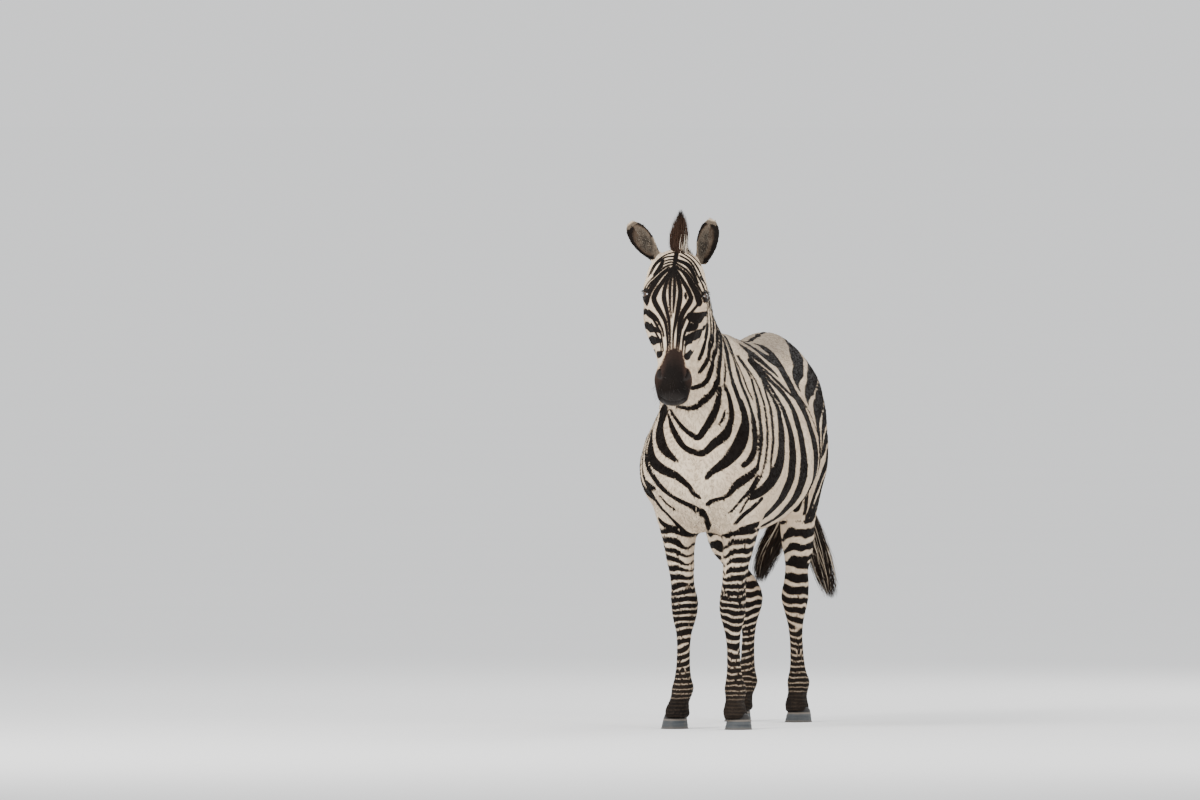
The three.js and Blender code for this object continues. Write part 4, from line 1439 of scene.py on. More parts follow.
def long_hair_material(settings):
    """Mane, forelock, tail and ear hair: `warm` reddens the dark locks, `shade` dims the pale."""
    nodes = Nodes("long hair")
    stripe = nodes.attribute("stripe")
    shade, tip = nodes.attribute("shade"), nodes.attribute("tip")
    grain = nodes.noise(700, 2)
    night = nodes.blend(grain.rise(0.35, 0.8), settings.black, (0.035, 0.024, 0.017))
    warm = (nodes.attribute("warm") * (tip * 0.7 + 0.45)).rise(0.15, 0.95)
    night = nodes.blend(warm, night, (0.054, 0.026, 0.015))
    white = nodes.blend(shade, settings.white, (0.50, 0.40, 0.29))
    white = nodes.blend(tip.rise(0.72, 1.0) * 0.55, white, (0.13, 0.09, 0.06))
    colour = nodes.blend((stripe + (grain - 0.5) * 3).rise(0.8, -0.8), white, night)
    return nodes.finish(colour, 0.5 + grain * 0.2, nodes.noise(1800, 1), 0.0003, 0.12)


def hoof_material():
    nodes = Nodes("hoof horn")
    height = nodes.height()
    rings = nodes.noise(95, 3, (0, 0, 0), (0.08, 0.08, 1))
    fibres = nodes.noise(420, 2, (0, 0, 0), (1, 1, 0.05))
    dirt = nodes.noise(38, 4)
    horn = nodes.blend(rings.rise(0.35, 0.7), (0.030, 0.035, 0.039), (0.062, 0.067, 0.070))
    horn = nodes.blend(dirt.rise(0.5, 0.8) * 0.4, horn, (0.12, 0.10, 0.082))
    # Painted shade: the horn from 33 mm up, where it goes in under the hair of the coronet, is made near
    # black.
    horn = nodes.blend(height.rise(0.030, 0.033), horn, (0.016, 0.014, 0.013))
    band = height.rise(0.025, 0.0275) * height.rise(0.033, 0.0305)
    horn = nodes.blend(band * 0.4, horn, (0.26, 0.205, 0.155))
    horn = nodes.blend(height.rise(0.010, 0.0) * 0.5, horn, (0.13, 0.105, 0.08))
    return nodes.finish(horn, 0.48 + dirt * 0.3, rings * 0.7 + fibres * 0.3, 0.0012, 0.35)


def eye_material(settings):
    """A dark brown iris with a level pupil, set in a dark rim, all under a clear cornea."""
    nodes = Nodes("eye")
    iris, pupil = nodes.attribute("iris"), nodes.attribute("pupil")
    rays = nodes.noise(420, 3)
    brown = nodes.blend(rays.rise(0.3, 0.75), settings.iris, (0.085, 0.042, 0.02))
    ball = nodes.blend(iris.rise(13.2, 14.4), brown, (0.03, 0.022, 0.018))
    ball = nodes.blend(iris.rise(16, 19), ball, (0.22, 0.16, 0.13))
    colour = nodes.blend(pupil.rise(1.06, 0.94), ball, (0.003, 0.003, 0.004))
    return nodes.finish(colour, 0.07, Coat_Weight=1.0, Coat_Roughness=0.02, IOR=1.38)


def lash_material():
    nodes = Nodes("lashes and whiskers")
    grain = nodes.noise(900, 1)
    colour = nodes.blend(grain.rise(0.35, 0.7), (0.012, 0.010, 0.009), (0.05, 0.04, 0.032))
    return nodes.finish(colour, 0.45)


def floor_material(settings):
    nodes = Nodes("pale floor")
    tone = nodes.noise(0.8, 3)
    colour = nodes.blend(tone, settings.floor, [level * 0.97 for level in settings.floor])
    glow = (*(sky * settings.sky * (1 - level) for sky, level in zip(SKY, settings.floor)), 1)
    return nodes.finish(colour, 0.9, specular=0.0, Emission_Color=glow, Emission_Strength=1.0)


# ---- Hair as solid locks ----

def lock_mesh(name, paths, widths, outs, flat, marks, spots):
    """Closed three-sided locks that taper to a point, joined as one mesh.

    `paths` holds the rings' middles (locks, rings, 3), `widths` their half widths
    (locks, rings - 1), `outs` the way that each lock's ridge faces, and `spots` the place of
    each root on an unwrap of the skin.
    """
    count, rings, _ = paths.shape
    along = unit(np.gradient(paths, axis=1))
    side = unit(np.cross(along, outs[:, None]))
    ridge = unit(np.cross(side, along))
    middle, width = paths[:, :-1], widths[..., None]
    side, ridge = side[:, :-1] * width, ridge[:, :-1] * width * flat
    ring = np.stack((middle - side, middle + side, middle + ridge), 2).reshape(count, -1, 3)
    points = np.concatenate((ring, paths[:, -1:]), 1)
    size = points.shape[1]
    faces = [(0, 1, 2)]
    for start in range(0, 3 * (rings - 2), 3):
        for a, b in ((0, 1), (1, 2), (2, 0)):
            faces += [(start + a, start + 3 + b, start + b), (start + a, start + 3 + a, start + 3 + b)]
    last = 3 * (rings - 2)
    faces += [(last + a, size - 1, last + b) for a, b in ((0, 1), (1, 2), (2, 0))]
    faces = turned_out(points[0], np.array(faces))
    triangles = (faces[None] + size * np.arange(count)[:, None, None]).reshape(-1, 3)
    mesh = mesh_from(name, points.reshape(-1, 3), triangles)
    shares = np.append(np.repeat(np.linspace(0, 1, rings)[:-1], 3), 1)
    give(mesh, "tip", np.tile(shares, count))
    for mark, values in marks.items():
        give(mesh, mark, np.repeat(values, size))
    across = np.append(np.tile((-1, 1, 0), rings - 1), 0)
    patch = np.stack((across, shares * 2 - 1), 1) * PATCH / 2
    places = (spots[:, None] + patch[None]).reshape(-1, 2)
    corner = np.empty(len(mesh.loops), np.int32)
    mesh.loops.foreach_get("vertex_index", corner)
    mesh.uv_layers.new(name="OFBake").data.foreach_set(
        "uv", np.ascontiguousarray(places[corner], np.float32).ravel())
    return mesh


PATCH = 0.003  # share of the unwrap that one tuft's patch covers each way
EDGE = 0.01  # share of the unwrap that stays free round each column


def round_axis(points, middle, axis):
    """A place's turn round an axis and its distance along it, both from 0 to 1."""
    axis = unit(np.array(axis, float))
    away = points - middle
    along = away @ axis
    first = unit(np.cross(axis, (1.0, 0.02, 0.01)))
    second = np.cross(axis, first)
    turn = np.arctan2(away @ second, away @ first) / (2 * math.pi) + 0.5
    return np.stack((turn, (along - along.min()) / np.ptp(along)), 1)


def on_unwrap(points, tiles):
    """Roots on the unrolled skin; each tile is (mask, middle, axis) and gets its own column."""
    spots = np.zeros((len(points), 2))
    for column, (mask, middle, axis) in enumerate(tiles):
        if mask.any():
            spot = round_axis(points[mask], middle, axis)
            spots[mask] = (spot * (1 - 2 * EDGE) + EDGE) / (len(tiles), 1) + (column / len(tiles), 0)
    return spots


def add_piece(mesh, material, slot, *nodes):
    """A finished piece on the root body, in place of some of the frame's nodes."""
    mesh.materials.append(material)
    piece = link(mesh.name, mesh)
    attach(piece, "root")
    if nodes:
        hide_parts(*nodes)


def add_hair(name, roots, paths, widths, outs, marks, material, axis, *nodes, flat=0.6):
    """A piece of longer hair, whose roots are unrolled round an axis."""
    spots = on_unwrap(roots, [(np.ones(len(roots), bool), roots.mean(0), axis)])
    add_piece(lock_mesh(name, paths, widths, outs, flat, marks, spots), material, "mane_hair", *nodes)


# ---- The coat ----

# Tufts of each region: how many per square metre, length, half width and lift, in mm.
TUFTS = {
    "trunk": (19_000, 11, 1.5, 1.5), "neck": (26_000, 10, 1.3, 1.5), "head": (70_000, 5, 0.6, 0.5),
    "ear": (80_000, 7, 0.7, 1.0), "upper_leg": (32_000, 8, 1.1, 1.1),
    "lower_leg": (60_000, 4.5, 0.7, 0.7), "tail_dock": (60_000, 14, 1.2, 2.0),
}
REGIONS = {
    "trunk": ("trunk",), "neck": ("neck",), "head": ("head", "ear"),
    "fore_legs": ("upper_leg_front", "lower_leg_front"),
    "hind_legs": ("upper_leg_hind", "lower_leg_hind"), "tail": ("tail_dock",),
}
TUFTS_PER_PIECE = 19_000
ROOT_DEPTH = 0.8 * MM
# Longer hair: middle [across, back, up] and reach in mm, and how much of its length is added.
SHAGGY = [
    ((0, -380, 660), (90, 130, 60), 0.7), ((0, 60, 605), (90, 420, 40), 0.4),
    ((60, -480, 1130), (80, 90, 120), 0.4), ((180, 800, 650), (60, 60, 60), 0.2),
]
JAW_SHAG = [((0, 150, -250), (90, 60, 160), 0.5)]


def tuft_lengths(skin):
    """How long and how wide the tufts are at each vertex, and how they lift, in mm."""
    sizes = np.zeros((len(skin.points), 4))
    for kind, row in TUFTS.items():
        sizes[skin.on(kind)] = row
    density = sizes[:, 0].copy()
    sizes = skin.blurred(sizes[:, 1:], 25)
    place = as_drawn(skin.points)
    longer = 1 + mounds(place, SHAGGY) + mounds(skin.head, JAW_SHAG) * skin.on("head")
    longer += 1.1 * bell((place[:, 2] - 115) / 30) * skin.on("lower_leg") * (skin.normals[:, 1] > 0.2)
    sizes[:, 0] *= longer
    sizes[:, 2] *= longer * (1 - 0.7 * skin.on("lower_leg") * ease(place[:, 2], 84, 66))
    face = skin.on("head")
    bare = np.clip(skin.marks["bare"] + ease(skin.head[:, 2], -380, -470) * face * 0.5, 0, 1)
    nose = ease(skin.head[:, 2], -150, -380) * face
    sizes *= (1 - 0.45 * nose)[:, None]
    density *= (1 - bare) * (1 + 0.6 * nose)
    for name in EARS:
        inner = ear_places(skin, name)[2]
        density[inner] *= 0.35
    return density, sizes


def tuft_tiles(skin, region, label):
    """The unwrap's columns of one region."""
    groups = {"head": ("head", *EARS), "fore_legs": LEGS[:2], "hind_legs": LEGS[2:]}
    tiles = []
    for group in groups.get(region, (region,)):
        starts = (group,) if region == "head" else (
            REGIONS[region] if group == region else (f"upper_leg_{group}", f"lower_leg_{group}"))
        wanted = [i for i, node in enumerate(skin.nodes) if node.startswith(starts)]
        mask = np.isin(label, wanted)
        axis = {"trunk": (0, 1, 0), "neck": (0, 0.8, -0.6)}.get(region, (0, 0.05, 1))
        middle = skin.points[np.isin(skin.label, wanted)].mean(0)
        tiles.append((mask, middle, axis))
    return tiles


def make_coat(settings):
    skin = finished_skin()
    material = coat_material(settings)
    density, sizes = tuft_lengths(skin)
    density = density * settings.density / 100
    for number, (region, starts) in enumerate(REGIONS.items()):
        local = np.where(skin.on(*starts), density, 0)
        place = skin.scatter(local, 100 + number)
        count = len(place[0])
        rng = np.random.default_rng(200 + number)
        roots, normals = skin.at(skin.points, place), unit(skin.at(skin.normals, place))
        ways = skin.at(skin.lie, place)
        ways = ways + 0.16 * rng.normal(size=(count, 3))
        ways = unit(ways - normals * (ways * normals).sum(1)[:, None])
        size = skin.at(sizes, place) * MM
        size = size * (rng.uniform(0.75, 1.25, count) * settings.length / 100)[:, None]
        length, width, lift = size[:, 0], size[:, 1], size[:, 2]
        start = roots - normals * ROOT_DEPTH
        bend = roots + ways * (0.45 * length)[:, None] + normals * (0.55 * lift)[:, None]
        end = roots + ways * length[:, None] + normals * (lift * rng.uniform(0.5, 1.2, count))[:, None]
        paths = np.stack((start, bend, end), 1)
        widths = np.stack((width * 0.8, width), 1)
        marks = {name: skin.at(skin.marks[name], place) for name in COAT_MARKS}
        marks["stripe"] = marks["stripe"] + (skin.slope("stripe", place) * ways).sum(1) * length * 0.5
        marks["stripe"] += rng.normal(0, 0.5, count)
        marks["shade"] = rng.random(count) ** 2
        label = skin.label[skin.triangles[place[0], 0]]
        spots = on_unwrap(roots, tuft_tiles(skin, region, label))
        order = np.argsort(roots[:, 1] if region == "trunk" else roots[:, 0], kind="stable")
        pieces = max(1, math.ceil(count / TUFTS_PER_PIECE))
        for turn, part in enumerate(np.array_split(order, pieces)):
            mesh = lock_mesh(f"coat_{region}_{turn + 1}", paths[part], widths[part], normals[part],
                             0.4, {name: values[part] for name, values in marks.items()}, spots[part])
            add_piece(mesh, material, "coat")


# ---- Mane, forelock and tail ----

MANE_REACH = (-0.637, -0.19)  # from the poll to the withers
MANE_MIDDLE = (-0.014, -0.002)  # across, at these two ends
MANE_LEAN = (124, 112)  # degrees from straight back, at these two ends
LONGEST, SHORTEST = 0.2, 0.012  # of the mane's locks
ABOVE_CREST = 1.75


def node_tree(node):
    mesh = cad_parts[node].data
    return tree_of(points_of(mesh), triangles_of(mesh))


def make_mane(settings):
    """Upright locks along the crest, as long as the frame's mane is high there."""
    skin = finished_skin()
    envelope = node_tree("mane")
    rng = np.random.default_rng(301)
    count = settings.mane_locks
    low, high = MANE_REACH
    back = rng.uniform(low, high, count)
    across = np.interp(back, MANE_REACH, MANE_MIDDLE)
    half = np.interp(back, (low, low + 0.1, high - 0.1, high), (14, 18, 15, 7)) * MM
    aside = np.clip(rng.normal(0, 0.45, count), -1, 1)
    lean = np.radians(np.interp(back, MANE_REACH, MANE_LEAN) + rng.normal(0, 3.5, count))
    roots, ways, lengths, stripes = [], [], [], []
    for y, x, reach, share, angle in zip(back + DRIFT, across, half, aside, lean):
        hit = skin.tree.ray_cast((x + reach * share, y, ABOVE_CREST), (0, 0, -1))
        if hit[0] is None:
            continue
        way = unit(np.array((0.1 * share, math.cos(angle), math.sin(angle))))
        top = envelope.ray_cast(tuple(np.array(hit[0]) + way * LONGEST), tuple(-way), LONGEST)
        if top[0] is None:
            continue
        roots.append(hit[0])
        ways.append(way)
        lengths.append(LONGEST - top[3])
        stripes.append(skin.marks["stripe"][skin.triangles[hit[2], 0]])
    keep = np.array(lengths) > SHORTEST
    roots, ways, lengths, stripes = (
        np.array(values)[keep] for values in (roots, ways, lengths, stripes))
    count = len(roots)
    lengths = lengths * rng.uniform(0.86, 1.0, count) + 0.5 * MM
    shares = np.array((0, 0.35, 0.7, 1.0))
    curl = rng.normal(0, 0.035, (count, 3)) * (1, 1, 0)
    start = roots - ways * (4 * MM)
    paths = start[:, None] + (ways[:, None] + curl[:, None] * shares[None, :, None] ** 1.5) \
        * (lengths + 4 * MM)[:, None, None] * shares[None, :, None]
    thick = rng.uniform(0.8, 1.3, count)[:, None] * settings.lock_width * MM
    widths = thick * np.array((1.0, 1.25, 0.9))
    outs = unit(np.column_stack((np.where(rng.random(count) < 0.5, -1, 1), rng.normal(0, 0.6, count),
                                 np.zeros(count))))
    marks = {"stripe": stripes + rng.normal(0, 1.2, count), "shade": rng.random(count) * 0.7,
             "warm": rng.random(count) * 0.8}
    add_hair("mane_hair", roots, paths, widths, outs, marks, long_hair_material(settings),
             (0, 0.9, -0.4), "mane")


class Bundle:
    """Where a bunch of hair runs: the middle and half size of a CAD node at each height."""

    def __init__(self, nodes, low, high, step=0.02):
        self.heights = np.arange(low, high, step)
        rows = []
        meshes = [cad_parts[node].data for node in nodes]
        corners = [points_of(mesh)[edges_of(triangles_of(mesh))] for mesh in meshes]
        ends = np.vstack(corners)
        for height in self.heights:
            gap = ends[:, :, 2] - height
            crossed = ends[gap[:, 0] * gap[:, 1] <= 0]
            rise = crossed[:, 1, 2] - crossed[:, 0, 2]
            share = (height - crossed[:, 0, 2]) / np.where(abs(rise) < 1e-9, 1, rise)
            cut = crossed[:, 0] + (crossed[:, 1] - crossed[:, 0]) * np.clip(share, 0, 1)[:, None]
            first, last = cut[:, :2].min(0), cut[:, :2].max(0)
            rows.append(((first + last) / 2).tolist() + ((last - first) / 2).tolist())
        self.rows = np.array(rows)

    def paths(self, spots, heights):
        """Paths that keep their own spot (-1 to 1 across and back) in the bundle's section."""
        x, y, half, deep = (np.interp(heights, self.heights, row) for row in self.rows.T)
        return np.stack((x + half * spots[:, 0, None], y + deep * spots[:, 1, None], heights), 2)


def spots_in_circle(rng, count, power=0.5):
    turn, far = rng.uniform(0, 2 * math.pi, count), rng.random(count) ** power
    return np.stack((np.cos(turn), np.sin(turn)), 1) * far[:, None]


def make_forelock(settings):
    """A brush of fine locks: dark inside, reddish brown outside, frayed at the top."""
    low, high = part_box("forelock")
    bundle = Bundle(("forelock",), low.z + 0.004, high.z - 0.001, 0.008)
    rng = np.random.default_rng(302)
    count = settings.forelock_locks
    spots = spots_in_circle(rng, count, 0.6)
    far = np.hypot(*spots.T)
    top = high.z - (high.z - low.z) * (0.5 * far ** 1.3 * rng.uniform(0.2, 1.1, count))
    top -= rng.random(count) ** 3 * 0.05
    shares = np.linspace(0, 1, 7)

    def rising(top):
        return (low.z - 0.012) + shares[None] * (top - low.z + 0.012)[:, None]

    paths = bundle.paths(spots, np.minimum(rising(top), high.z - 0.03))
    flare = spots * 5 + rng.normal(0, 3.0, (count, 2))
    sway = np.sin(shares[None] * 5 + rng.uniform(0, 6, count)[:, None])[..., None]
    sway = sway * rng.normal(0, 1, (count, 1, 2))
    paths[..., :2] += (flare[:, None] * shares[None, :, None] ** 2 + sway * shares[None, :, None]) * MM
    widths = rng.uniform(0.5, 1.0, count)[:, None] * settings.lock_width * MM * np.linspace(1, 0.45, 6)
    outs = unit(np.column_stack((spots + rng.normal(0, 0.2, (count, 2)), np.zeros(count))))
    pale = (spots[:, 0] > 0.3) & (rng.random(count) < 0.5)
    paths[..., 2] = rising(top - 0.05 * pale)
    marks = {"stripe": np.where(pale, 10.0, -10.0), "shade": rng.random(count),
             "warm": np.clip(far ** 1.6 * rng.uniform(0.5, 1.5, count), 0, 1)}
    add_hair("forelock_hair", paths[:, 0], paths, widths, outs, marks, long_hair_material(settings),
             (0, 0, 1), "forelock")


def make_tail(settings):
    """Long strands that leave the lower dock and fill the two bunches of the tuft."""
    for number, node in enumerate(TAIL_TUFTS):
        low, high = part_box(node)
        bundle = Bundle((node,), low.z + 0.002, high.z - 0.004)
        rng = np.random.default_rng(303 + number)
        count = settings.tail_strands // 2
        spots = spots_in_circle(rng, count, 0.7)
        bottom = low.z + (high.z - low.z) * (0.55 * rng.random(count) ** 1.6)
        start = high.z - 0.004 + rng.uniform(-0.10, 0.0, count)
        rings = 10
        shares = np.linspace(0, 1, rings)
        heights = start[:, None] + (bottom - start)[:, None] * shares[None]
        paths = bundle.paths(spots, heights)
        swing = np.sin(shares[None] * rng.uniform(5, 9, count)[:, None] + rng.uniform(0, 6, count)[:, None])
        fray = rng.normal(0, 1, (count, 1, 2)) * shares[None, :, None] ** 2 * 9 * MM
        paths[..., :2] += fray
        paths[..., 0] += 4 * MM * swing * shares
        paths[..., 1] += 3 * MM * swing[::-1] * shares
        widths = rng.uniform(0.7, 1.4, count)[:, None] * settings.lock_width * MM * np.concatenate(
            ((0.7,), np.linspace(1.1, 0.5, rings - 2)))
        outs = unit(np.column_stack((spots + 1e-3, np.zeros(count))))
        edge = ease(np.hypot(*spots.T), 0.55, 0.95)
        pale = rng.random(count) < 0.03 + 0.16 * edge
        marks = {"stripe": np.where(pale, 8.0, -10.0), "shade": 0.4 + 0.6 * rng.random(count),
                 "warm": rng.random(count) * 0.5}
        add_hair(node.replace("tuft", "hair"), paths[:, 0], paths, widths, outs, marks,
                 long_hair_material(settings), (0, 0, 1), node)


# ---- Lashes, whiskers and the hair of the ears ----

def curved_hairs(name, roots, ways, bends, lengths, width, marks, material):
    """Fine single hairs: each starts along its way and bends over towards its bend."""
    shares = np.linspace(0, 1, 6)
    reach = shares[None, :, None] * lengths[:, None, None]
    paths = roots[:, None] + ways[:, None] * reach + bends[:, None] * reach * shares[None, :, None]
    widths = np.tile(np.linspace(width, width * 0.4, 5) * MM, (len(roots), 1))
    outs = unit(np.cross(ways, (0.3, 0.2, 1.0)))
    add_hair(name, roots, paths, widths, outs, marks, material, (0, 0.1, 1), flat=0.8)


def make_lashes(settings):
    """A row of lashes on each upper lid, pointing outwards and hanging a little."""
    rng = np.random.default_rng(401)
    count = settings.lashes
    roots, ways = [], []
    for side in (-1, 1):
        axis, slit, up = eye_axes(side)
        across = np.linspace(-0.88, 0.92, count) + rng.normal(0, 0.015, count)
        along = across * SLIT_HALF
        above = UPPER_LID * (1 - abs(across) ** 2.4) + rng.normal(0.6, 0.35, count)
        radius = EYE_RADIUS / MM
        out = np.sqrt(np.maximum(radius ** 2 - along ** 2 - above ** 2, 9))
        ray = unit(np.outer(along, slit) + np.outer(above, up) + np.outer(out, axis))
        roots.append(from_head(eye_middle(side) + ray * (radius + LID_WALL - 0.3)))
        way = axis + 0.25 * up + np.outer(across * 0.55, slit) + rng.normal(0, 0.07, (count, 3))
        ways.append(unit(way) @ HEAD_AXES.T)
    roots, ways = np.vstack(roots), np.vstack(ways)
    lengths = rng.uniform(10, 15, len(roots)) * MM
    bends = np.tile((0, 0, -0.35), (len(roots), 1))
    curved_hairs("lashes", roots, ways, bends, lengths, 0.45, {"stripe": np.full(len(roots), -9.0)},
                 lash_material())


def make_whiskers(settings):
    """Stiff single hairs on the lips and the chin."""
    skin = finished_skin()
    low = ease(skin.head[:, 2], -440, -520) * skin.on("head")
    place = skin.scatter(low * settings.whiskers / 0.03, 402)
    roots, normals = skin.at(skin.points, place), unit(skin.at(skin.normals, place))
    rng = np.random.default_rng(403)
    count = len(roots)
    ways = unit(normals + 0.35 * rng.normal(size=(count, 3)) + (0, 0, -0.35))
    lengths = rng.uniform(9, 24, count) * MM
    bends = np.tile((0, 0.05, -0.4), (count, 1))
    curved_hairs("whiskers", roots - normals * 0.5 * MM, ways, bends, lengths, 0.35,
                 {"stripe": np.full(count, -9.0)}, lash_material())


def make_ear_hair(settings):
    """Pale hair that leaves the rims of each ear and leans over the cup."""
    skin = finished_skin()
    rng = np.random.default_rng(404)
    for name in EARS:
        _, share, inner, outwards, axis, opening = ear_places(skin, name)
        depth = skin.blurred(inner.astype(float), 24)
        amount = inner * ease(depth, 0.86, 0.92) * ease(share, 0.98, 0.85)
        place = skin.scatter(amount * settings.ear_hair * 1e3, 405)
        roots, normals = skin.at(skin.points, place), unit(skin.at(skin.normals, place))
        count = len(roots)
        rim = skin.at(ease(depth, 0.9, 0.6), place)
        towards = np.cross(axis, opening) * (1 if name == "ear_left" else -1)
        inwards = -np.sign(skin.at(outwards, place))[:, None] * towards
        ways = unit(axis * 0.9 + normals * 0.35 + inwards * (0.2 + 0.7 * rim)[:, None]
                    + 0.25 * rng.normal(size=(count, 3)))
        lengths = (8 + 14 * rim) * rng.uniform(0.6, 1.1, count) * MM
        pale = rng.random(count) < 0.2 + 0.3 * rim
        marks = {"stripe": np.where(pale, 0.3, -9.0), "shade": rng.random(count),
                 "warm": np.zeros(count)}
        curved_hairs(f"{name}_hair", roots - normals * 0.5 * MM, ways, inwards * 0.3 + opening * 0.1,
                     lengths, 0.4, marks, long_hair_material(settings))


# ---- Eyes and hooves ----

CORNEA = 1.3  # mm that it is raised above the eyeball


def make_eyes(settings):
    """Eyeballs with a raised cornea, each along its own axis."""
    material = eye_material(settings)
    rows, turns = 30, 56
    slant = np.linspace(0, math.pi, rows)[1:-1]
    around = np.arange(turns) * 2 * math.pi / turns
    for side, node in ((1, "eye_left"), (-1, "eye_right")):
        axis, slit, up = eye_axes(side)
        radius = EYE_RADIUS / MM + CORNEA * bell(slant / 0.5)
        ring = np.stack((np.outer(np.sin(slant) * radius, np.cos(around)),
                         np.outer(np.sin(slant) * radius, np.sin(around)),
                         np.outer(np.cos(slant) * radius, np.ones(turns))), 2).reshape(-1, 3)
        ends = np.array(((0, 0, EYE_RADIUS / MM + CORNEA), (0, 0, -EYE_RADIUS / MM)))
        local = np.vstack((ends, ring))
        points = from_head(local @ np.array((slit, up, axis)) + eye_middle(side))
        faces = []
        for j in range(turns):
            k = (j + 1) % turns
            faces += [(0, 2 + j, 2 + k), (1, 2 + (rows - 3) * turns + k, 2 + (rows - 3) * turns + j)]
            for i in range(rows - 3):
                a, b = 2 + i * turns + j, 2 + i * turns + k
                faces += [(a, a + turns, b + turns), (a, b + turns, b)]
        mesh = mesh_from(f"{node}_ball", points, turned_out(points, np.array(faces)))
        far = np.hypot(local[:, 0], local[:, 1]) + 40 * (local[:, 2] < 0)
        give(mesh, "iris", far)
        give(mesh, "pupil", np.hypot(local[:, 0] / 7.5, local[:, 1] / 3.6) + 9 * (local[:, 2] < 0))
        add_piece(mesh, material, "eye", node)


def make_hooves():
    """Hooves with growth rings, a bulbous heel and a flat sole, from the frame's own."""
    material = hoof_material()
    for node in HOOVES:
        body = merged_copy(node)
        bmesh.ops.subdivide_edges(body, edges=body.edges, cuts=3, use_grid_fill=True)
        bmesh.ops.triangulate(body, faces=body.faces)
        mesh = closed_mesh(body, node)
        points, triangles = points_of(mesh), triangles_of(mesh)
        bpy.data.meshes.remove(mesh)
        sole = points[:, 2] < 0.5 * MM
        smooth = relax(points, triangles, np.where(sole, 0.01, 3.0), 20)
        smooth[:, 2] = np.where(sole, points[:, 2], smooth[:, 2])
        normals = normals_of(smooth, triangles)
        wall = ease(smooth[:, 2] / MM, 1.5, 6) * ease(abs(normals[:, 2]), 0.9, 0.6)
        rings = 0.45 * np.sin(smooth[:, 2] / MM * 2 * math.pi / 9 + ripple(smooth / MM, 60, 81))
        rings += 0.35 * ripple(smooth / MM, 14, 82)
        smooth += normals * (rings * wall * MM)[:, None]
        add_piece(mesh_from(f"{node}_horn", smooth, triangles), material, "hoof", node)


def make_skin(settings):
    mesh = mesh_from("skin", *shaped_skin())
    add_piece(mesh, skin_material(settings), "coat", *FLESH)
    finished_skin.cache_clear()
    for name, values in finished_skin().marks.items():
        give(mesh, name, values)


# ---- Stage ----

CAMERA_PLACE = (16.12, -72.58, 2.157)
CAMERA_AIM = (-0.4252, 0.0507, 1.0474)
CAMERA_LENS = 694.9
FLOOR_REACH = 600
GAP = 0.0005  # of the floor under the soles
MIDDLE = (0, 0, 0.9)  # what the lights aim at


def aimed(place, aim):
    return (Vector(aim) - Vector(place)).to_track_quat("-Z", "Y").to_euler()


def add_light(name, place, size, power):
    light = bpy.data.lights.new(name, "AREA")
    light.shape = "DISK"
    light.size, light.energy = size, power
    piece = bpy.data.objects.new(name, light)
    piece.location, piece.rotation_euler = place, aimed(place, MIDDLE)
    bpy.context.scene.collection.objects.link(piece)


def make_stage(settings):
    reach = FLOOR_REACH
    corners = ((-reach, -reach, -GAP), (reach, -reach, -GAP), (reach, reach, -GAP), (-reach, reach, -GAP))
    floor = link("floor", mesh_from("floor", corners, ((0, 1, 2), (0, 2, 3))))
    floor.data.materials.append(floor_material(settings))
    world = bpy.data.worlds.new("studio")
    world.use_nodes = True
    background = world.node_tree.nodes["Background"]
    background.inputs["Color"].default_value = (*SKY, 1)
    background.inputs["Strength"].default_value = settings.sky
    bpy.context.scene.world = world
    add_light("key", (-2.6, -4.6, 4.6), 2.6, settings.key)
    add_light("fill", (4.6, -3.2, 2.6), 3.2, settings.key * 0.34)
    add_light("rim", (1.5, 5.0, 4.0), 3.0, settings.key * 0.45)
    camera = bpy.data.cameras.new("camera")
    camera.lens, camera.sensor_width = CAMERA_LENS, 36
    camera.clip_start, camera.clip_end = 1, 5000
    piece = bpy.data.objects.new("camera", camera)
    piece.location, piece.rotation_euler = CAMERA_PLACE, aimed(CAMERA_PLACE, CAMERA_AIM)
    bpy.context.scene.collection.objects.link(piece)
    bpy.context.scene.camera = piece


# ---- The add-on ----

def colour_property(name, description, default):
    return bpy.props.FloatVectorProperty(
        name=name, description=description, subtype="COLOR", size=3, min=0, max=1, default=default)


def share_property(name, description, low, high):
    return bpy.props.FloatProperty(
        name=name, description=description, subtype="PERCENTAGE", default=100, min=low, max=high)


def count_property(name, description, default, low, high):
    return bpy.props.IntProperty(
        name=name, description=description, default=default, min=low, max=high)


class ZebraCoatSettings(bpy.types.PropertyGroup):
    white: colour_property("White", "Colour of the white stripes", (0.80, 0.655, 0.485))
    cream: colour_property("Cream", "Warmer tone in the white", (0.62, 0.47, 0.33))
    black: colour_property("Black", "Colour of the black stripes", (0.0075, 0.006, 0.0055))
    brown: colour_property("Brown", "Tint over the muzzle and between the stripes", (0.33, 0.19, 0.10))
    iris: colour_property("Iris", "Colour of the eye", (0.04, 0.02, 0.01))
    length: share_property(
        "Coat length", "Length of the tufts, as a share of the grown coat", 30, 130)
    density: share_property("Coat density", "Number of tufts, as a share of the full coat", 5, 120)


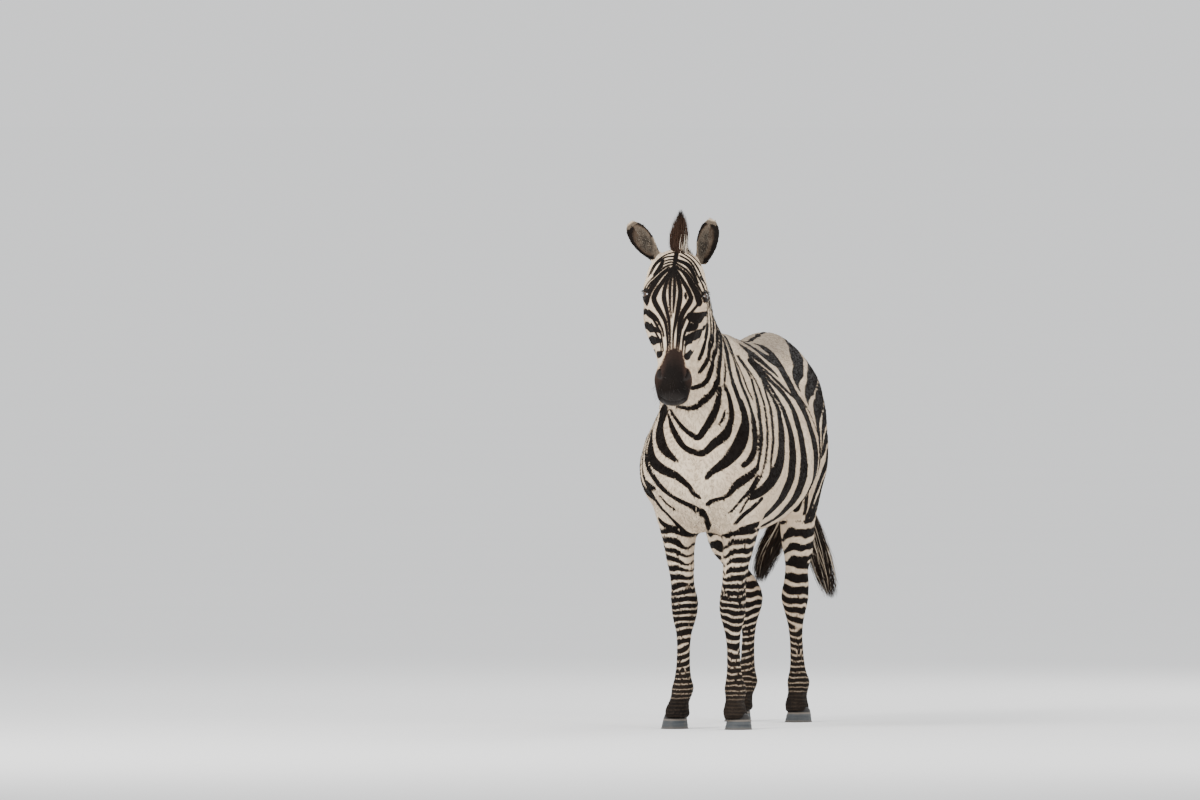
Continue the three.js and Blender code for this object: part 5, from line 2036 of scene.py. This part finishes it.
class ZebraHairSettings(bpy.types.PropertyGroup):
    white: colour_property("White", "Colour of the pale locks", (0.78, 0.71, 0.60))
    black: colour_property("Black", "Colour of the dark locks", (0.010, 0.0075, 0.006))
    lock_width: bpy.props.FloatProperty(
        name="Lock width", description="Half width of a lock of mane, in millimetres",
        default=1.5, min=0.4, max=4)
    mane_locks: count_property(
        "Mane locks", "Number of locks tried along the crest", 5200, 200, 9000)
    forelock_locks: count_property(
        "Forelock locks", "Number of locks in the forelock", 1300, 50, 2000)
    ear_hair: count_property(
        "Ear hair", "Long hairs in the ears, in thousands per square metre", 55, 5, 200)
    lashes: count_property("Lashes", "Number of lashes on each upper lid", 46, 5, 90)
    whiskers: count_property("Whiskers", "Number of whiskers on the lips and chin", 110, 0, 300)
    tail_strands: count_property(
        "Tail strands", "Number of strands in both bunches of the tail", 2000, 100, 3000)


class ZebraStageSettings(bpy.types.PropertyGroup):
    floor: colour_property("Floor", "Colour of the floor", (0.80, 0.79, 0.77))
    sky: bpy.props.FloatProperty(
        name="Surround", description="Strength of the pale surround", default=1.2, min=0, max=3)
    key: bpy.props.FloatProperty(
        name="Key light", description="Power of the main soft light", subtype="POWER", unit="POWER",
        default=380, min=0, max=5000)


class ZEBRA_OT_skin(bpy.types.Operator):
    """Shape one skin over all the parts of flesh"""
    bl_idname = "zebra.skin"
    bl_label = "Skin"

    def execute(self, context):
        make_skin(context.scene.zebra_coat)
        return {"FINISHED"}


class ZEBRA_OT_coat(bpy.types.Operator):
    """Lay the tufts of the short coat on the skin"""
    bl_idname = "zebra.coat"
    bl_label = "Coat"

    def execute(self, context):
        make_coat(context.scene.zebra_coat)
        return {"FINISHED"}


class ZEBRA_OT_mane(bpy.types.Operator):
    """Stand the mane and the forelock on the crest and the poll"""
    bl_idname = "zebra.mane"
    bl_label = "Mane and forelock"

    def execute(self, context):
        make_mane(context.scene.zebra_hair)
        make_forelock(context.scene.zebra_hair)
        return {"FINISHED"}


class ZEBRA_OT_tail(bpy.types.Operator):
    """Hang the long strands of the tail from the dock"""
    bl_idname = "zebra.tail"
    bl_label = "Tail hair"

    def execute(self, context):
        make_tail(context.scene.zebra_hair)
        return {"FINISHED"}


class ZEBRA_OT_fine_hair(bpy.types.Operator):
    """Add the lashes, the whiskers and the long hair of the ears"""
    bl_idname = "zebra.fine_hair"
    bl_label = "Lashes, whiskers and ear hair"

    def execute(self, context):
        make_lashes(context.scene.zebra_hair)
        make_whiskers(context.scene.zebra_hair)
        make_ear_hair(context.scene.zebra_hair)
        return {"FINISHED"}


class ZEBRA_OT_eyes(bpy.types.Operator):
    """Set the eyeballs behind the lids"""
    bl_idname = "zebra.eyes"
    bl_label = "Eyes"

    def execute(self, context):
        make_eyes(context.scene.zebra_coat)
        return {"FINISHED"}


class ZEBRA_OT_hooves(bpy.types.Operator):
    """Finish the four hooves with growth rings"""
    bl_idname = "zebra.hooves"
    bl_label = "Hooves"

    def execute(self, context):
        make_hooves()
        return {"FINISHED"}


class ZEBRA_OT_stage(bpy.types.Operator):
    """Lay the floor and set the lights and the camera"""
    bl_idname = "zebra.stage"
    bl_label = "Stage"

    def execute(self, context):
        make_stage(context.scene.zebra_stage)
        return {"FINISHED"}


OPERATORS = (ZEBRA_OT_skin, ZEBRA_OT_coat, ZEBRA_OT_mane, ZEBRA_OT_tail, ZEBRA_OT_fine_hair,
             ZEBRA_OT_eyes, ZEBRA_OT_hooves, ZEBRA_OT_stage)
SETTINGS = {"zebra_coat": ZebraCoatSettings, "zebra_hair": ZebraHairSettings,
            "zebra_stage": ZebraStageSettings}


class ZEBRA_PT_panel(bpy.types.Panel):
    """The zebra's settings and the steps that build it"""
    bl_idname = "ZEBRA_PT_panel"
    bl_label = "Plains zebra"
    bl_space_type = "VIEW_3D"
    bl_region_type = "UI"
    bl_category = "Zebra"

    def draw(self, context):
        for name, group in SETTINGS.items():
            box = self.layout.box()
            for field in group.__annotations__:
                box.prop(getattr(context.scene, name), field)
        for operator in OPERATORS:
            self.layout.operator(operator.bl_idname)


CLASSES = (*SETTINGS.values(), *OPERATORS, ZEBRA_PT_panel)


def register():
    for cls in CLASSES:
        bpy.utils.register_class(cls)
    for name, group in SETTINGS.items():
        setattr(bpy.types.Scene, name, bpy.props.PointerProperty(type=group))


def unregister():
    for name in SETTINGS:
        delattr(bpy.types.Scene, name)
    for cls in reversed(CLASSES):
        bpy.utils.unregister_class(cls)


def main():
    register()
    for operator in OPERATORS:
        getattr(bpy.ops.zebra, operator.bl_idname.split(".")[1])()


if __name__ == "__main__":
    main()
